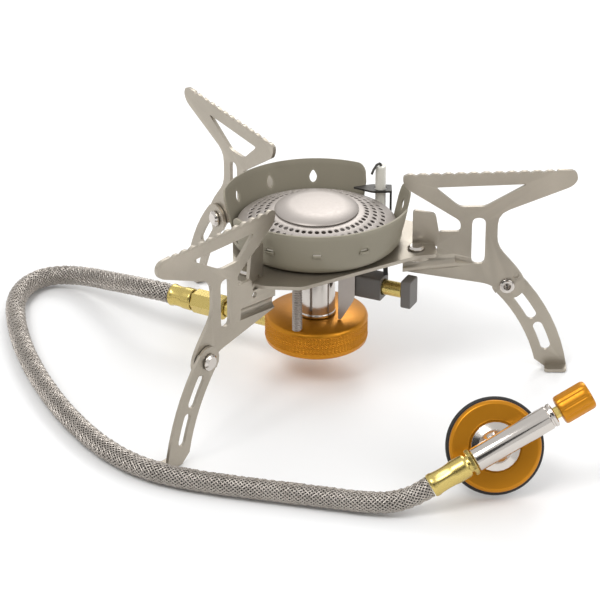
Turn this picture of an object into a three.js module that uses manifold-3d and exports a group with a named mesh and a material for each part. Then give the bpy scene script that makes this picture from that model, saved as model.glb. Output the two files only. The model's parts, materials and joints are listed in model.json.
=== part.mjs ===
// Remote-canister camping stove: a burner on a three-armed folding stand, and a braided hose to a valve.
// Millimetres, +Z up, burner on the Z axis until the last step centres the stove on its own base.
import * as THREE from "three";
import { mergeVertices } from "three/addons/utils/BufferGeometryUtils.js";
import Module from "manifold-3d";

const wasm = await Module();
wasm.setup();

// ---- driving dimensions ----
const gap = 0.3; // between pieces that touch
const holeClearance = 0.25; // radial, round a rivet
const kneeHeight = 35.8; // knee rivet above the ground
const kneeDrop = 19.4; // knee rivet below the base plate's top
const kneeReach = 35.5; // knee rivet outward of the arm's pivot
const nominalAim = -0.9; // degrees, the way an arm points in its third
const armSwings = [0, 4.2, -7.7]; // degrees each arm stands off its nominal aim
const sheet = 1.4; // base plate and arms
const legSheet = 1.2;
const armOffset = 8; // pivot axis to the arm plate's near face
const rivetRadius = 1.95;
const wall = 0.8; // burner, windscreen and tube
const headRadius = 30.7;
const headClearance = 0.9; // burner head to the windscreen's foot
const screenFlare = 4.9; // the windscreen's rim outside its foot
const pivotMargin = 6.1; // arm pivot outside the windscreen's foot
const pivotY = -8.2; // arm pivot, in the first arm's third of the plate
const tubeRadius = 7.5;
const housingRadius = 20;
const housingHeight = 11.2;
const tubeBelowPlate = 30.8; // jet housing's top below the plate's top
const inletAim = 150.5; // degrees
const inletDrop = 5.6; // inlet axis below the housing's top
const inletPipeRadius = 3;
const hoseRadius = 4;
const ferruleRadius = 4.4;
const valveBodyRadius = 4.5;
const discRadius = 16.6;
const padRadius = 17.8;
const knobRadius = 5.4;

// ---- levels worked out from them ----
const plateTop = kneeHeight + kneeDrop;
const plateUnder = plateTop - sheet;
const screenFloor = plateTop + gap;
const housingTop = plateTop - tubeBelowPlate;
const housingUnder = housingTop - housingHeight;
const inletHeight = housingTop - inletDrop;
const screenFloorRadius = headRadius + headClearance;
const screenTopRadius = screenFloorRadius + screenFlare;
const pivotX = screenFloorRadius + pivotMargin;

// ---- geometry helpers ----
const degrees = (angle) => (angle * Math.PI) / 180;
const polar = (radius, angle) => [radius * Math.cos(degrees(angle)), radius * Math.sin(degrees(angle))];

function solid(geometry) {
  const bare = geometry.index ? geometry.toNonIndexed() : geometry.clone();
  bare.deleteAttribute("normal");
  bare.deleteAttribute("uv");
  const merged = mergeVertices(bare, 1e-3);
  const corners = Array.from(merged.index.array);
  const spots = merged.attributes.position.array;
  const triangles = [];
  for (let i = 0; i < corners.length; i += 3) {
    const [a, b, c] = corners.slice(i, i + 3);
    if (a !== b && b !== c && c !== a) triangles.push(a, b, c);
  }
  const build = (list) =>
    new wasm.Manifold(new wasm.Mesh({ numProp: 3, vertProperties: spots, triVerts: new Uint32Array(list) }));
  const made = build(triangles);
  return made.volume() > 0 ? made : build(triangles.reverse());
}

function geometryOf(body) {
  const mesh = body.getMesh();
  const geometry = new THREE.BufferGeometry();
  geometry.setAttribute("position", new THREE.BufferAttribute(mesh.vertProperties, 3));
  geometry.setIndex(new THREE.BufferAttribute(mesh.triVerts, 1));
  geometry.computeVertexNormals();
  return geometry;
}

// A closed outline with round corners: [x, y, corner radius].
function roundedShape(points, Kind = THREE.Shape) {
  const shape = new Kind();
  points.forEach(([x, y, radius = 0], i) => {
    const before = points[(i + points.length - 1) % points.length];
    const after = points[(i + 1) % points.length];
    const corner = new THREE.Vector2(x, y);
    const toward = (other) => {
      const step = new THREE.Vector2(other[0], other[1]).sub(corner);
      return corner.clone().addScaledVector(step.clone().normalize(), Math.min(radius, step.length() * 0.45));
    };
    const enter = toward(before);
    const leave = toward(after);
    if (i === 0) shape.moveTo(enter.x, enter.y);
    else shape.lineTo(enter.x, enter.y);
    if (radius > 0) shape.quadraticCurveTo(x, y, leave.x, leave.y);
  });
  shape.closePath();
  return shape;
}

// A flat sheet in the ground plane, from z up.
function flatSheet(shape, thickness, z, segments = 5) {
  const geometry = new THREE.ExtrudeGeometry(shape, {
    depth: thickness,
    bevelEnabled: false,
    curveSegments: segments,
  });
  return solid(geometry.translate(0, 0, z));
}

// A standing sheet whose outline is drawn in (u, z), from v up.
function standingSheet(shape, thickness, v, segments = 5) {
  const geometry = new THREE.ExtrudeGeometry(shape, {
    depth: thickness,
    bevelEnabled: false,
    curveSegments: segments,
  });
  return solid(geometry.rotateX(Math.PI / 2).translate(0, v + thickness, 0));
}

function box(x0, x1, y0, y1, z0, z1) {
  const geometry = new THREE.BoxGeometry(x1 - x0, y1 - y0, z1 - z0);
  return solid(geometry.translate((x0 + x1) / 2, (y0 + y1) / 2, (z0 + z1) / 2));
}

// A turned solid about the Z axis from [radius, z] points.
function turned(points, segments = 40, start = 0, sweep = 360) {
  const profile = points.map(([radius, z]) => new THREE.Vector2(radius, z));
  if (points[0][0] > 0) profile.push(profile[0].clone());
  const geometry = new THREE.LatheGeometry(profile, segments, degrees(start), degrees(sweep));
  return solid(geometry.rotateX(Math.PI / 2));
}

function disc(radius, z0, z1, x = 0, y = 0, segments = 20) {
  const geometry = new THREE.CylinderGeometry(radius, radius, z1 - z0, segments);
  return solid(geometry.rotateX(Math.PI / 2).translate(x, y, (z0 + z1) / 2));
}

// A round bar from one point to another.
function bar(from, to, radius, segments = 16) {
  const start = new THREE.Vector3(...from);
  const way = new THREE.Vector3(...to).sub(start);
  const geometry = new THREE.CylinderGeometry(radius, radius, way.length(), segments);
  geometry.translate(0, way.length() / 2, 0);
  const turn = new THREE.Quaternion().setFromUnitVectors(new THREE.Vector3(0, 1, 0), way.normalize());
  geometry.applyQuaternion(turn).translate(...from);
  return solid(geometry);
}

function circlePath(x, y, radius, Kind = THREE.Path) {
  const path = new Kind();
  path.absarc(x, y, radius, 0, 2 * Math.PI, false);
  return path;
}

// ---- materials ----
const finish = (color, roughness, metalness) => ({ color, roughness, metalness });
const steel = finish(0xb8b0a2, 0.45, 0.9);
const polished = finish(0xc9c6c0, 0.2, 1);
const screenPaint = finish(0xa8a292, 0.6, 0.6);
const orange = finish(0xd98a1c, 0.35, 0.9);
const brass = finish(0xc9a85a, 0.35, 1);
const braid = finish(0x9a9690, 0.5, 0.8);
const black = finish(0x181818, 0.8, 0);
const grey = finish(0x6a6660, 0.6, 0);
const ceramic = finish(0xf4f2ec, 0.5, 0);

const stove = new THREE.Group();

function piece(name, body, look, parent = stove) {
  const mesh = new THREE.Mesh(geometryOf(body), new THREE.MeshStandardMaterial(look));
  mesh.name = name;
  parent.add(mesh);
  return mesh;
}

// ---- base plate: three thirds, each with a pivot hole and an upright ear ----
const plateCorners = [
  [pivotX - 0.3, -14.6],
  [pivotX + 8.1, -12.9],
  [pivotX + 6.6, 3.5],
  [pivotX + 0.5, 15.8],
];
const ear = { near: 4.9, inner: pivotX - 1.2, outer: pivotX + 9.1, rise: 13.8, outerRise: 12.3, taper: 1.7 };
const igniterAim = -25;
const electrodeAim = 43;
const electrodeRadius = screenFloorRadius + 2.4;
const electrodeSpot = polar(electrodeRadius, electrodeAim);

function turnedAbout([x, y], angle) {
  const spot = new THREE.Vector2(x, y).rotateAround(new THREE.Vector2(), degrees(angle));
  return [spot.x, spot.y];
}

function basePlate() {
  const outline = [0, 120, 240].flatMap((turn) => plateCorners.map((corner) => [...turnedAbout(corner, turn), 2]));
  const shape = roundedShape(outline);
  for (const turn of [0, 120, 240]) {
    const [x, y] = turnedAbout([pivotX, pivotY], turn);
    shape.holes.push(circlePath(x, y, rivetRadius + holeClearance));
  }
  let plate = flatSheet(shape, sheet, plateUnder);
  const near = pivotY + ear.near;
  const earShape = roundedShape([
    [ear.inner, plateUnder + 0.2, 0],
    [ear.outer - 1, plateUnder + 0.2, 0],
    [ear.outer, plateTop + 3, 1],
    [ear.outer - ear.taper, plateTop + ear.outerRise, 1.5],
    [ear.inner, plateTop + ear.rise, 1.5],
  ]);
  const earSlot = roundedShape([
    [ear.inner + 3, plateTop - 3, 0.4],
    [ear.outer - 4, plateTop - 3, 0.4],
    [ear.outer - 4, plateTop + 1.6, 0.8],
    [ear.inner + 3, plateTop + 1.6, 0.8],
  ]);
  for (const turn of [0, 120, 240]) {
    const earSheet = standingSheet(earShape, sheet, near).subtract(standingSheet(earSlot, sheet * 3, near + 0.9));
    plate = plate.add(earSheet.rotate([0, 0, turn]));
  }
  const notch = disc(2.2 + gap, plateUnder - 1, plateTop + 1, ...electrodeSpot);
  const tubeHole = disc(tubeRadius + gap, plateUnder - 1, plateTop + 1, 0, 0, 32);
  return plate.subtract(notch).subtract(tubeHole);
}
piece("base_plate", basePlate(), steel);

// ---- arms: a serrated pot rest, an open web and a tongue, in one pressed sheet ----
const scallops = 12;
const barRise = { inner: 26.2, outer: 28.4, land: 29.4 }; // above the plate's top

function armOutline() {
  const z = (rise) => plateTop + rise;
  const shape = new THREE.Shape();
  const innerEnd = [-5, z(barRise.inner)];
  const outerEnd = [52.6, z(barRise.outer)];
  const at = (share) => innerEnd.map((value, i) => value + (outerEnd[i] - value) * share);
  const body = roundedShape([
    innerEnd,
    [-5.3, z(24.4), 1.5],
    [-4.1, z(21.4), 1.2],
    [17, z(7.9), 1.8],
    [17.1, z(3.5), 1.6],
    [8.9, z(3.5), 1.2],
    [8.2, z(-1.7), 0.5],
    [-3, z(-1.7), 1.5],
    [-4.9, z(-5.4), 1],
    [-4.8, z(-13.3), 1.2],
    [27.8, z(-18.5), 3],
    [31.2, z(-20.6), 2],
    [33.4, z(-24.2), 2.5],
    [39, z(-25), 3],
    [42.6, z(-21), 3],
    [42.2, z(-16.6), 2.5],
    [39.4, z(-12.2), 2.5],
    [31.2, z(-2.5), 4],
    [31.2, z(11), 4.5],
    [59.2, z(22.8), 2.5],
    [61.2, z(26), 3],
    [59.8, z(barRise.land), 3],
    [53.2, z(barRise.land)],
  ]).getPoints(3).slice(0, -1);
  body.forEach((point, i) => (i ? shape.lineTo(point.x, point.y) : shape.moveTo(point.x, point.y)));
  shape.lineTo(...outerEnd);
  for (let i = scallops; i > 0; i -= 1) {
    const [crestU, crestZ] = at((i - 0.5) / scallops);
    shape.quadraticCurveTo(crestU, crestZ + 1.8, ...at((i - 1) / scallops));
  }
  shape.closePath();
  return shape;
}

function kneeHole() {
  const at = (v) => [kneeReach, armOffset + v, kneeHeight];
  return bar(at(-2), at(6), rivetRadius + holeClearance, 12);
}

function armPlate() {
  const shape = armOutline();
  shape.holes.push(
    roundedShape(
      [
        [7, plateTop + 21.8, 1.6],
        [16.4, plateTop + 13.8, 1.8],
        [26.2, plateTop + 14, 1.8],
        [42, plateTop + 23.5, 1.6],
      ],
      THREE.Path,
    ),
  );
  shape.holes.push(
    roundedShape(
      [
        [21.4, plateTop + 9.3, 2.6],
        [21.4, plateTop - 10.1, 2.6],
        [26.6, plateTop - 10.1, 2.6],
        [26.6, plateTop + 9.3, 2.6],
      ],
      THREE.Path,
    ),
  );
  shape.holes.push(circlePath(7.2, plateTop - 3.6, 1.3));
  let arm = standingSheet(shape, sheet, armOffset, 3);
  const under = plateTop - 1.7 - sheet;
  const flange = roundedShape([
    [-5.2, -5, 4.6],
    [5.2, -5, 4.6],
    [5.6, armOffset + 0.4, 0],
    [-4.2, armOffset + 0.4, 0],
  ]);
  arm = arm.add(flatSheet(flange, sheet, under));
  const beadFrom = [-7, armOffset + sheet + 0.9, plateTop - 11.1];
  const beadTo = [15.3, armOffset + sheet + 0.9, plateTop - 8.6];
  const ridge = bar(beadFrom, beadTo, 3.7).intersect(
    box(-4.8, 30, armOffset - 2, armOffset + 0.4, plateTop - 30, plateTop),
  );
  const dimple = bar([38.7, 0, plateTop - 14.7], [38.7, armOffset + 0.35, plateTop - 14.7], 1.3, 10);
  arm = arm.add(ridge).subtract(bar(beadFrom, beadTo, 2.5)).subtract(dimple);
  const pivotHole = disc(rivetRadius + holeClearance, under - 1, under + sheet + 1, 0, 0, 12);
  return arm.subtract(pivotHole).subtract(kneeHole());
}

function headedRivet(z0, z1, headRadius, tailRadius, headHeight, tailHeight) {
  return turned(
    [
      [0, z0 - tailHeight],
      [tailRadius * 0.8, z0 - tailHeight],
      [tailRadius, z0 - tailHeight * 0.5],
      [tailRadius, z0],
      [rivetRadius, z0],
      [rivetRadius, z1],
      [headRadius, z1],
      [headRadius, z1 + headHeight * 0.45],
      [headRadius * 0.72, z1 + headHeight],
      [0, z1 + headHeight],
    ],
    12,
  );
}

// The leg is a strip on a long arc, from the knee to a turned-in foot.
const legArc = { u: -15.1, drop: 47.7, inner: 64.1, outer: 75.9, knee: 43.3 };
const legCentreZ = kneeHeight - legArc.drop;

function arcSlot(inner, outer, from, to) {
  const middle = (inner + outer) / 2;
  const half = (outer - inner) / 2;
  const path = new THREE.Path();
  path.absarc(legArc.u, legCentreZ, outer, degrees(from), degrees(to), false);
  const end = polar(middle, to);
  path.absarc(legArc.u + end[0], legCentreZ + end[1], half, degrees(to), degrees(to + 180), false);
  path.absarc(legArc.u, legCentreZ, inner, degrees(to), degrees(from), true);
  const start = polar(middle, from);
  path.absarc(legArc.u + start[0], legCentreZ + start[1], half, degrees(from + 180), degrees(from + 360), false);
  return path;
}

function legPlate() {
  const v = armOffset + sheet + gap;
  const footAngle = (radius) => (Math.asin(-legCentreZ / radius) * 180) / Math.PI;
  const shape = new THREE.Shape();
  const { u, inner, outer, knee } = legArc;
  shape.absarc(u, legCentreZ, outer, degrees(footAngle(outer)), degrees(knee), false);
  shape.absarc(kneeReach, kneeHeight, (outer - inner) / 2, degrees(knee), degrees(knee + 180), false);
  shape.absarc(u, legCentreZ, inner, degrees(knee), degrees(footAngle(inner) + 3), true);
  shape.lineTo(u + inner * Math.cos(degrees(footAngle(inner))) + 3.5, 0);
  shape.closePath();
  shape.holes.push(arcSlot(67.6, 71.6, 29.8, 37.4));
  shape.holes.push(arcSlot(67.8, 71.6, 17.7, 25));
  const plate = standingSheet(shape, legSheet, v, 4);
  const toe = u + Math.sqrt(outer * outer - legCentreZ * legCentreZ);
  const lip = flatSheet(
    roundedShape([
      [toe - 9, v - 4.8, 1.5],
      [toe - 0.3, v - 4.8, 1.5],
      [toe - 0.3, v + legSheet - 0.1, 0],
      [toe - 8.4, v + legSheet - 0.1, 0],
    ]),
    legSheet,
    0,
  );
  return plate.add(lip).subtract(kneeHole());
}

["right", "back", "front"].forEach((side, index) => {
  const third = index * 120;
  const [x, y] = turnedAbout([pivotX, pivotY], third);
  const arm = new THREE.Group();
  arm.position.set(x, y, 0);
  arm.rotation.z = degrees(nominalAim + third + armSwings[index]);
  stove.add(arm);
  piece(`arm_${side}`, armPlate(), steel, arm);
  const flangeUnder = plateTop - 1.7 - sheet;
  piece(`pivot_rivet_${side}`, headedRivet(flangeUnder - gap, plateTop + gap, 3.3, 2.8, 1.1, 1.3), polished, arm);
  piece(`leg_${side}`, legPlate(), steel, arm);
  const rivet = headedRivet(armOffset - gap, armOffset + sheet + gap + legSheet + gap, 3.3, 3, 1.5, 0.8);
  const hollow = disc(1.45, armOffset - 3, armOffset + 2, 0, 0, 14);
  const kneeRivet = rivet.subtract(hollow).rotate([-90, 0, 0]).translate([kneeReach, 0, kneeHeight]);
  piece(`knee_rivet_${side}`, kneeRivet, polished, arm);
});

// ---- burner: windscreen, cup, perforated head, cap and mixing tube ----
const screenRise = 17.2;
const petals = [
  { from: 2.5, to: 23 },
  { from: 56, to: 175 },
  { from: 207, to: 343 },
];

function windscreen() {
  const top = screenFloor + screenRise;
  let screen = turned(
    [
      [tubeRadius + gap, screenFloor],
      [screenFloorRadius - 2, screenFloor],
      [screenFloorRadius, screenFloor + 1.6],
      [screenTopRadius, top],
      [screenTopRadius - wall, top],
      [screenFloorRadius - wall, screenFloor + 2],
      [screenFloorRadius - 2.4, screenFloor + wall],
      [tubeRadius + gap, screenFloor + wall],
    ],
    54,
  );
  petals.forEach((petal, i) => {
    const next = petals[(i + 1) % petals.length];
    const from = petal.to;
    const to = next.from < petal.to ? next.from + 360 : next.from;
    const near = screenFloorRadius - 2.2;
    const far = screenTopRadius + 3;
    const between = polar(far + 3, (from + to) / 2);
    const corners = [polar(near, from), polar(far, from), between, polar(far, to), polar(near, to)];
    screen = screen.subtract(flatSheet(roundedShape(corners), screenRise * 2, screenFloor + 2.6));
  });
  for (const angle of [92, 122, 153]) {
    const [ax, ay] = polar(50, angle);
    const [bx, by] = polar(26, angle);
    const z = screenFloor + 10.7;
    screen = screen.subtract(bar([bx, by, z - 1], [ax, ay, z - 1], 1.5, 10));
    screen = screen.subtract(bar([bx, by, z + 0.6], [ax, ay, z + 0.6], 0.9, 8));
  }
  const notch = disc(2.2 + gap, screenFloor - 1, top + 1, ...electrodeSpot);
  return screen.subtract(notch);
}
piece("windscreen", windscreen(), screenPaint);

const cupFloor = screenFloor + wall + gap;
const cupRim = cupFloor + 5.2;
piece(
  "burner_cup",
  turned(
    [
      [tubeRadius + gap, cupFloor],
      [headRadius - 6.7, cupFloor],
      [headRadius - 1.4, cupFloor + 3.9],
      [headRadius - 1.4, cupRim],
      [headRadius - 2.2, cupRim],
      [headRadius - 2.2, cupFloor + 4.3],
      [headRadius - 7, cupFloor + wall],
      [tubeRadius + gap, cupFloor + wall],
    ],
    48,
  ),
  steel,
);

const headRim = cupFloor + 6.1; // outer edge of the perforated cone
const headInner = headRim + 5.2;
const capRadius = 14.9;

function burnerHead() {
  const head = turned(
    [
      [capRadius - 1.7, headInner],
      [headRadius, headRim],
      [headRadius, cupFloor + 1.6],
      [headRadius - wall, cupFloor + 1.6],
      [headRadius - wall, headRim - 0.6],
      [capRadius - 1.7, headInner - wall - 0.2],
    ],
    48,
  );
  const ports = 24;
  const cutters = [];
  [11.5, 8.1, 4.7].forEach((inward, row) => {
    const radius = headRadius - inward;
    for (let i = 0; i < ports; i += 1) {
      const [x, y] = polar(radius, ((i + (row % 2) / 2) * 360) / ports);
      cutters.push(disc(1, headRim - 2, headInner + 3, x, y, 6));
    }
  });
  return head.subtract(wasm.Manifold.compose(cutters));
}
piece("burner_head", burnerHead(), steel);
const capUnder = headInner + gap;
piece(
  "burner_cap",
  turned(
    [
      [0, capUnder],
      [capRadius - 0.5, capUnder],
      [capRadius, capUnder + 0.4],
      [capRadius - 2.6, capUnder + 1.9],
      [8, capUnder + 2.9],
      [0, capUnder + 3.3],
    ],
    48,
  ),
  steel,
);
const tubeTop = headInner - 3.5;

function mixingTube() {
  const tube = turned(
    [
      [tubeRadius - wall, housingTop + gap],
      [tubeRadius, housingTop + gap],
      [tubeRadius, tubeTop],
      [tubeRadius - wall, tubeTop],
    ],
    32,
  );
  const z = housingTop + 7;
  return tube.subtract(bar([-12, 6, z], [0, 0, z], 2, 10)).subtract(bar([6, 12, z], [0, 0, z], 2, 10));
}
piece("mixing_tube", mixingTube(), polished);

// ---- gas side: jet, housing, inlet ----
const jetShank = 2.5;
const inletWay = polar(1, inletAim);
const inletRim = [-19, 4.5]; // where the inlet's axis leaves the housing
const alongInlet = (distance) => [
  inletRim[0] + inletWay[0] * distance,
  inletRim[1] + inletWay[1] * distance,
  inletHeight,
];
piece(
  "gas_jet",
  turned(
    [
      [0, inletHeight + 3.6],
      [jetShank, inletHeight + 3.6],
      [jetShank, housingTop + gap],
      [4, housingTop + gap],
      [4, housingTop + 3.4],
      [2.4, housingTop + 3.8],
      [1.4, housingTop + 6.4],
      [0, housingTop + 6.4],
    ],
    16,
  ),
  brass,
);
const studSpot = [-7.4, -15.2];
const studRadius = 2;
piece(
  "jet_housing",
  turned(
    [
      [0, housingUnder],
      [housingRadius - 1, housingUnder],
      [housingRadius, housingUnder + 1],
      [housingRadius, housingTop - 1],
      [housingRadius - 1, housingTop],
      [0, housingTop],
    ],
    64,
  )
    .subtract(disc(jetShank + gap, inletHeight, housingTop + 1))
    .subtract(bar(alongInlet(-14), alongInlet(6), inletPipeRadius + gap, 16))
    .subtract(disc(studRadius + gap, housingTop - 6, housingTop + 1, ...studSpot)),
  orange,
);
piece("support_stud", disc(studRadius, housingTop - 5.5, plateUnder - gap, ...studSpot, 14), steel);

piece("inlet_pipe", bar(alongInlet(-5), alongInlet(26), inletPipeRadius, 16), brass);

const nutStart = 18.3;
const nutEnd = 33.1;
function alongInletTurned(points, segments) {
  const body = turned(points, segments);
  return body.rotate([0, 90, 0]).rotate([0, 0, inletAim]).translate(alongInlet(0));
}
piece(
  "inlet_nut",
  alongInletTurned(
    [
      [0, nutStart],
      [4.4, nutStart],
      [4.8, nutStart + 0.8],
      [4.8, nutEnd - 0.8],
      [4.4, nutEnd],
      [0, nutEnd],
    ],
    6,
  ).subtract(bar(alongInlet(nutStart - 1), alongInlet(26 + gap), inletPipeRadius + gap, 16)),
  brass,
);
const hoseExitDistance = 43.8;
piece(
  "hose_ferrule_stove",
  alongInletTurned(
    [
      [0, 33.4],
      [ferruleRadius, 33.4],
      [ferruleRadius, 35],
      [ferruleRadius - 0.4, 35.6],
      [ferruleRadius - 0.4, 38],
      [ferruleRadius, 38.6],
      [ferruleRadius, hoseExitDistance - gap],
      [0, hoseExitDistance - gap],
    ],
    16,
  ),
  brass,
);

// ---- valve: a group of its own, X along the body, -Z towards the canister ----
const valve = new THREE.Group();
const valveAt = new THREE.Vector3(63.6, -102.6, 22.4);
const valveX = new THREE.Vector3(0.863, 0.227, 0.451).normalize();
const valveZ = new THREE.Vector3(0, -0.893, 0.45).normalize();
const valveY = new THREE.Vector3().crossVectors(valveZ, valveX).normalize();
valveZ.crossVectors(valveX, valveY);
valve.quaternion.setFromRotationMatrix(new THREE.Matrix4().makeBasis(valveX, valveY, valveZ));
valve.position.copy(valveAt);
stove.add(valve);

const alongValve = (points, segments) => turned(points, segments).rotate([0, 90, 0]);
const bodyStart = -9.2;
const bodyEnd = 23.6;
const bossRadius = 7.2;
const sleeveRadius = 7;
const discFront = -7.3;
const discBack = discFront - 3.5;
const padBack = discBack - gap - 2.5;
const socketRadius = 5.5;
const spindleRadius = 2.2;

function valveBody() {
  const body = alongValve(
    [
      [0, bodyStart],
      [valveBodyRadius - 0.4, bodyStart],
      [valveBodyRadius, bodyStart + 0.5],
      [valveBodyRadius, bodyEnd - 2.4],
      [valveBodyRadius - 0.3, bodyEnd - 2.2],
      [valveBodyRadius - 0.3, bodyEnd - 1.6],
      [valveBodyRadius, bodyEnd - 1.4],
      [valveBodyRadius, bodyEnd - 0.4],
      [valveBodyRadius - 0.4, bodyEnd],
      [0, bodyEnd],
    ],
    28,
  );
  const boss = turned(
    [
      [0, padBack],
      [sleeveRadius, padBack],
      [sleeveRadius, discFront + gap],
      [bossRadius + 1.6, discFront + gap],
      [bossRadius + 1.6, discFront + 1.4],
      [bossRadius - 1, discFront + 2.2],
      [valveBodyRadius, -1.5],
      [0, -1.5],
    ],
    28,
  );
  const socket = disc(socketRadius, padBack - 1, padBack + 6.8, 0, 0, 24);
  const spindleBore = bar([bodyEnd - 9, 0, 0], [bodyEnd + 1, 0, 0], spindleRadius + gap, 14);
  return body.add(boss).subtract(socket).subtract(spindleBore);
}
piece("valve_body", valveBody(), polished, valve);

const ring = (inner, outer, low, high, segments) =>
  turned(
    [
      [inner, low],
      [outer - 0.5, low],
      [outer, low + 0.5],
      [outer, high - 0.5],
      [outer - 0.5, high],
      [inner, high],
    ],
    segments,
  );
piece("adaptor_disc", ring(sleeveRadius + gap, discRadius, discBack, discFront, 56), orange, valve);
piece("rubber_pad", ring(sleeveRadius + gap, padRadius, padBack, discBack - gap, 56), black, valve);
piece("seal_ring", ring(2.4, socketRadius - gap, padBack + 4.7, padBack + 6.4, 20), black, valve);
piece("pin_depressor", disc(1, padBack + 2, padBack + 6.4, 0, 0, 10), brass, valve);
const knobStart = 25.6;
const knobEnd = 38.2;
piece(
  "valve_spindle",
  bar([bodyEnd - 8.5, 0, 0], [knobStart + 4, 0, 0], spindleRadius, 14),
  brass,
  valve,
);
piece(
  "valve_knob",
  alongValve(
    [
      [0, knobStart],
      [knobRadius - 1, knobStart],
      [knobRadius, knobStart + 1],
      [knobRadius, knobEnd - 1],
      [knobRadius - 1, knobEnd],
      [0, knobEnd],
    ],
    28,
  ).subtract(bar([knobStart - 1, 0, 0], [knobStart + 4 + gap, 0, 0], spindleRadius + gap, 14)),
  orange,
  valve,
);
const unionStart = bodyStart - gap - 5.4;
piece(
  "hose_union_nut",
  alongValve(
    [
      [0, unionStart],
      [4.6, unionStart],
      [5, unionStart + 0.6],
      [5, unionStart + 4.8],
      [4.6, unionStart + 5.4],
      [0, unionStart + 5.4],
    ],
    6,
  ),
  brass,
  valve,
);
const ferruleStart = -27.3;
piece(
  "hose_ferrule_valve",
  alongValve(
    [
      [0, ferruleStart],
      [ferruleRadius, ferruleStart],
      [ferruleRadius, ferruleStart + 2.2],
      [ferruleRadius - 0.4, ferruleStart + 2.8],
      [ferruleRadius - 0.4, ferruleStart + 8],
      [ferruleRadius, ferruleStart + 8.6],
      [ferruleRadius, unionStart - gap],
      [0, unionStart - gap],
    ],
    16,
  ),
  brass,
  valve,
);

// ---- hose: a plain tube on its own route over the ground ----
const hoseEnds = {
  stove: new THREE.Vector3(...alongInlet(hoseExitDistance)),
  valve: valveAt.clone().addScaledVector(valveX, ferruleStart - gap),
};
const hoseRoute = [
  [-60.6, 28.1, 18.8],
  [-66.4, 32.2, 18.1],
  [-72.8, 38.8, 16.2],
  [-79, 46.6, 13.6],
  [-85.4, 54.8, 10.8],
  [-92, 62.6, 8.2],
  [-99.2, 68.8, 6],
  [-106.4, 71.4, 4.7],
  [-113, 69.2, 4.3],
  [-117.8, 63.4, 4.2],
  [-120.6, 54.6, 4.2],
  [-121.2, 44, 4.2],
  [-119.8, 32, 4.2],
  [-117.4, 19, 4.2],
  [-114, 5.5, 4.2],
  [-109.6, -8.5, 4.2],
  [-104.4, -22.5, 4.2],
  [-98.4, -36.5, 4.2],
  [-91.6, -50, 4.2],
  [-83.8, -63, 4.2],
  [-75, -74.6, 4.2],
  [-65, -84, 4.2],
  [-53, -91, 4.2],
  [-39, -96, 4.2],
  [-24, -100, 4.2],
  [-9, -103.6, 4.2],
  [5, -107, 4.2],
  [16.5, -109.8, 4.3],
  [25.5, -111.3, 5.1],
  [32.9, -110.7, 6.9],
];

function gasHose() {
  const first = hoseEnds.stove;
  const last = hoseEnds.valve;
  const points = [first, ...hoseRoute.map((spot) => new THREE.Vector3(...spot)), last];
  const route = new THREE.CatmullRomCurve3(points, false, "centripetal");
  const sides = 10;
  const section = new THREE.Shape();
  for (let i = 0; i < sides; i += 1) {
    const [x, y] = polar(hoseRadius, (i * 360) / sides);
    if (i) section.lineTo(x, y);
    else section.moveTo(x, y);
  }
  section.closePath();
  const geometry = new THREE.ExtrudeGeometry(section, { steps: 48, bevelEnabled: false, extrudePath: route });
  return solid(geometry);
}
piece("gas_hose", gasHose(), braid);

// ---- piezo igniter: body and bracket under the plate, lead and electrode beside the burner ----
const igniterWay = polar(1, igniterAim);
const buttonFace = [37, -12];
const igniterHeight = plateTop - 16.8;
const pressTravel = 4;

function igniterBlock(near, far, halfWidth, halfHeight) {
  const block = roundedShape([
    [-halfWidth, -halfHeight, 1],
    [halfWidth, -halfHeight, 1],
    [halfWidth, halfHeight, 1],
    [-halfWidth, halfHeight, 1],
  ]);
  const body = flatSheet(block, far - near, near, 3).rotate([90, 0, 90]);
  return body.rotate([0, 0, igniterAim]).translate([...buttonFace, igniterHeight]);
}

function igniterRod(near, far, radius) {
  const spot = (distance) => [
    buttonFace[0] + igniterWay[0] * distance,
    buttonFace[1] + igniterWay[1] * distance,
    igniterHeight,
  ];
  return bar(spot(near), spot(far), radius, 16);
}
const plungerRadius = 2.9;
piece("igniter_button", igniterBlock(-4, 0, 3.8, 5.6), grey);
piece("igniter_plunger", igniterRod(-17, -4 - gap, plungerRadius), brass);
piece(
  "igniter_body",
  igniterBlock(-26, -12.3, 4, 4.6).subtract(igniterRod(-17 - pressTravel - gap, -11, plungerRadius + gap)),
  grey,
);
const bracketY = -7.4;
const bracketShape = roundedShape([
  [tubeRadius + 0.8, housingTop + gap, 0.6],
  [tubeRadius + 2, housingTop + gap, 0.6],
  [14.6, housingTop + 9, 2],
  [14.6, plateUnder - 8, 2],
  [19.5, plateUnder - gap, 0],
  [tubeRadius + 0.8, plateUnder - gap, 0],
]);
const bracket = standingSheet(bracketShape, 1, bracketY).add(
  box(tubeRadius + 0.8, 19.2, bracketY - 5, bracketY + 0.5, plateUnder - gap - 1, plateUnder - gap),
);
piece("igniter_bracket", bracket, polished);

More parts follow.
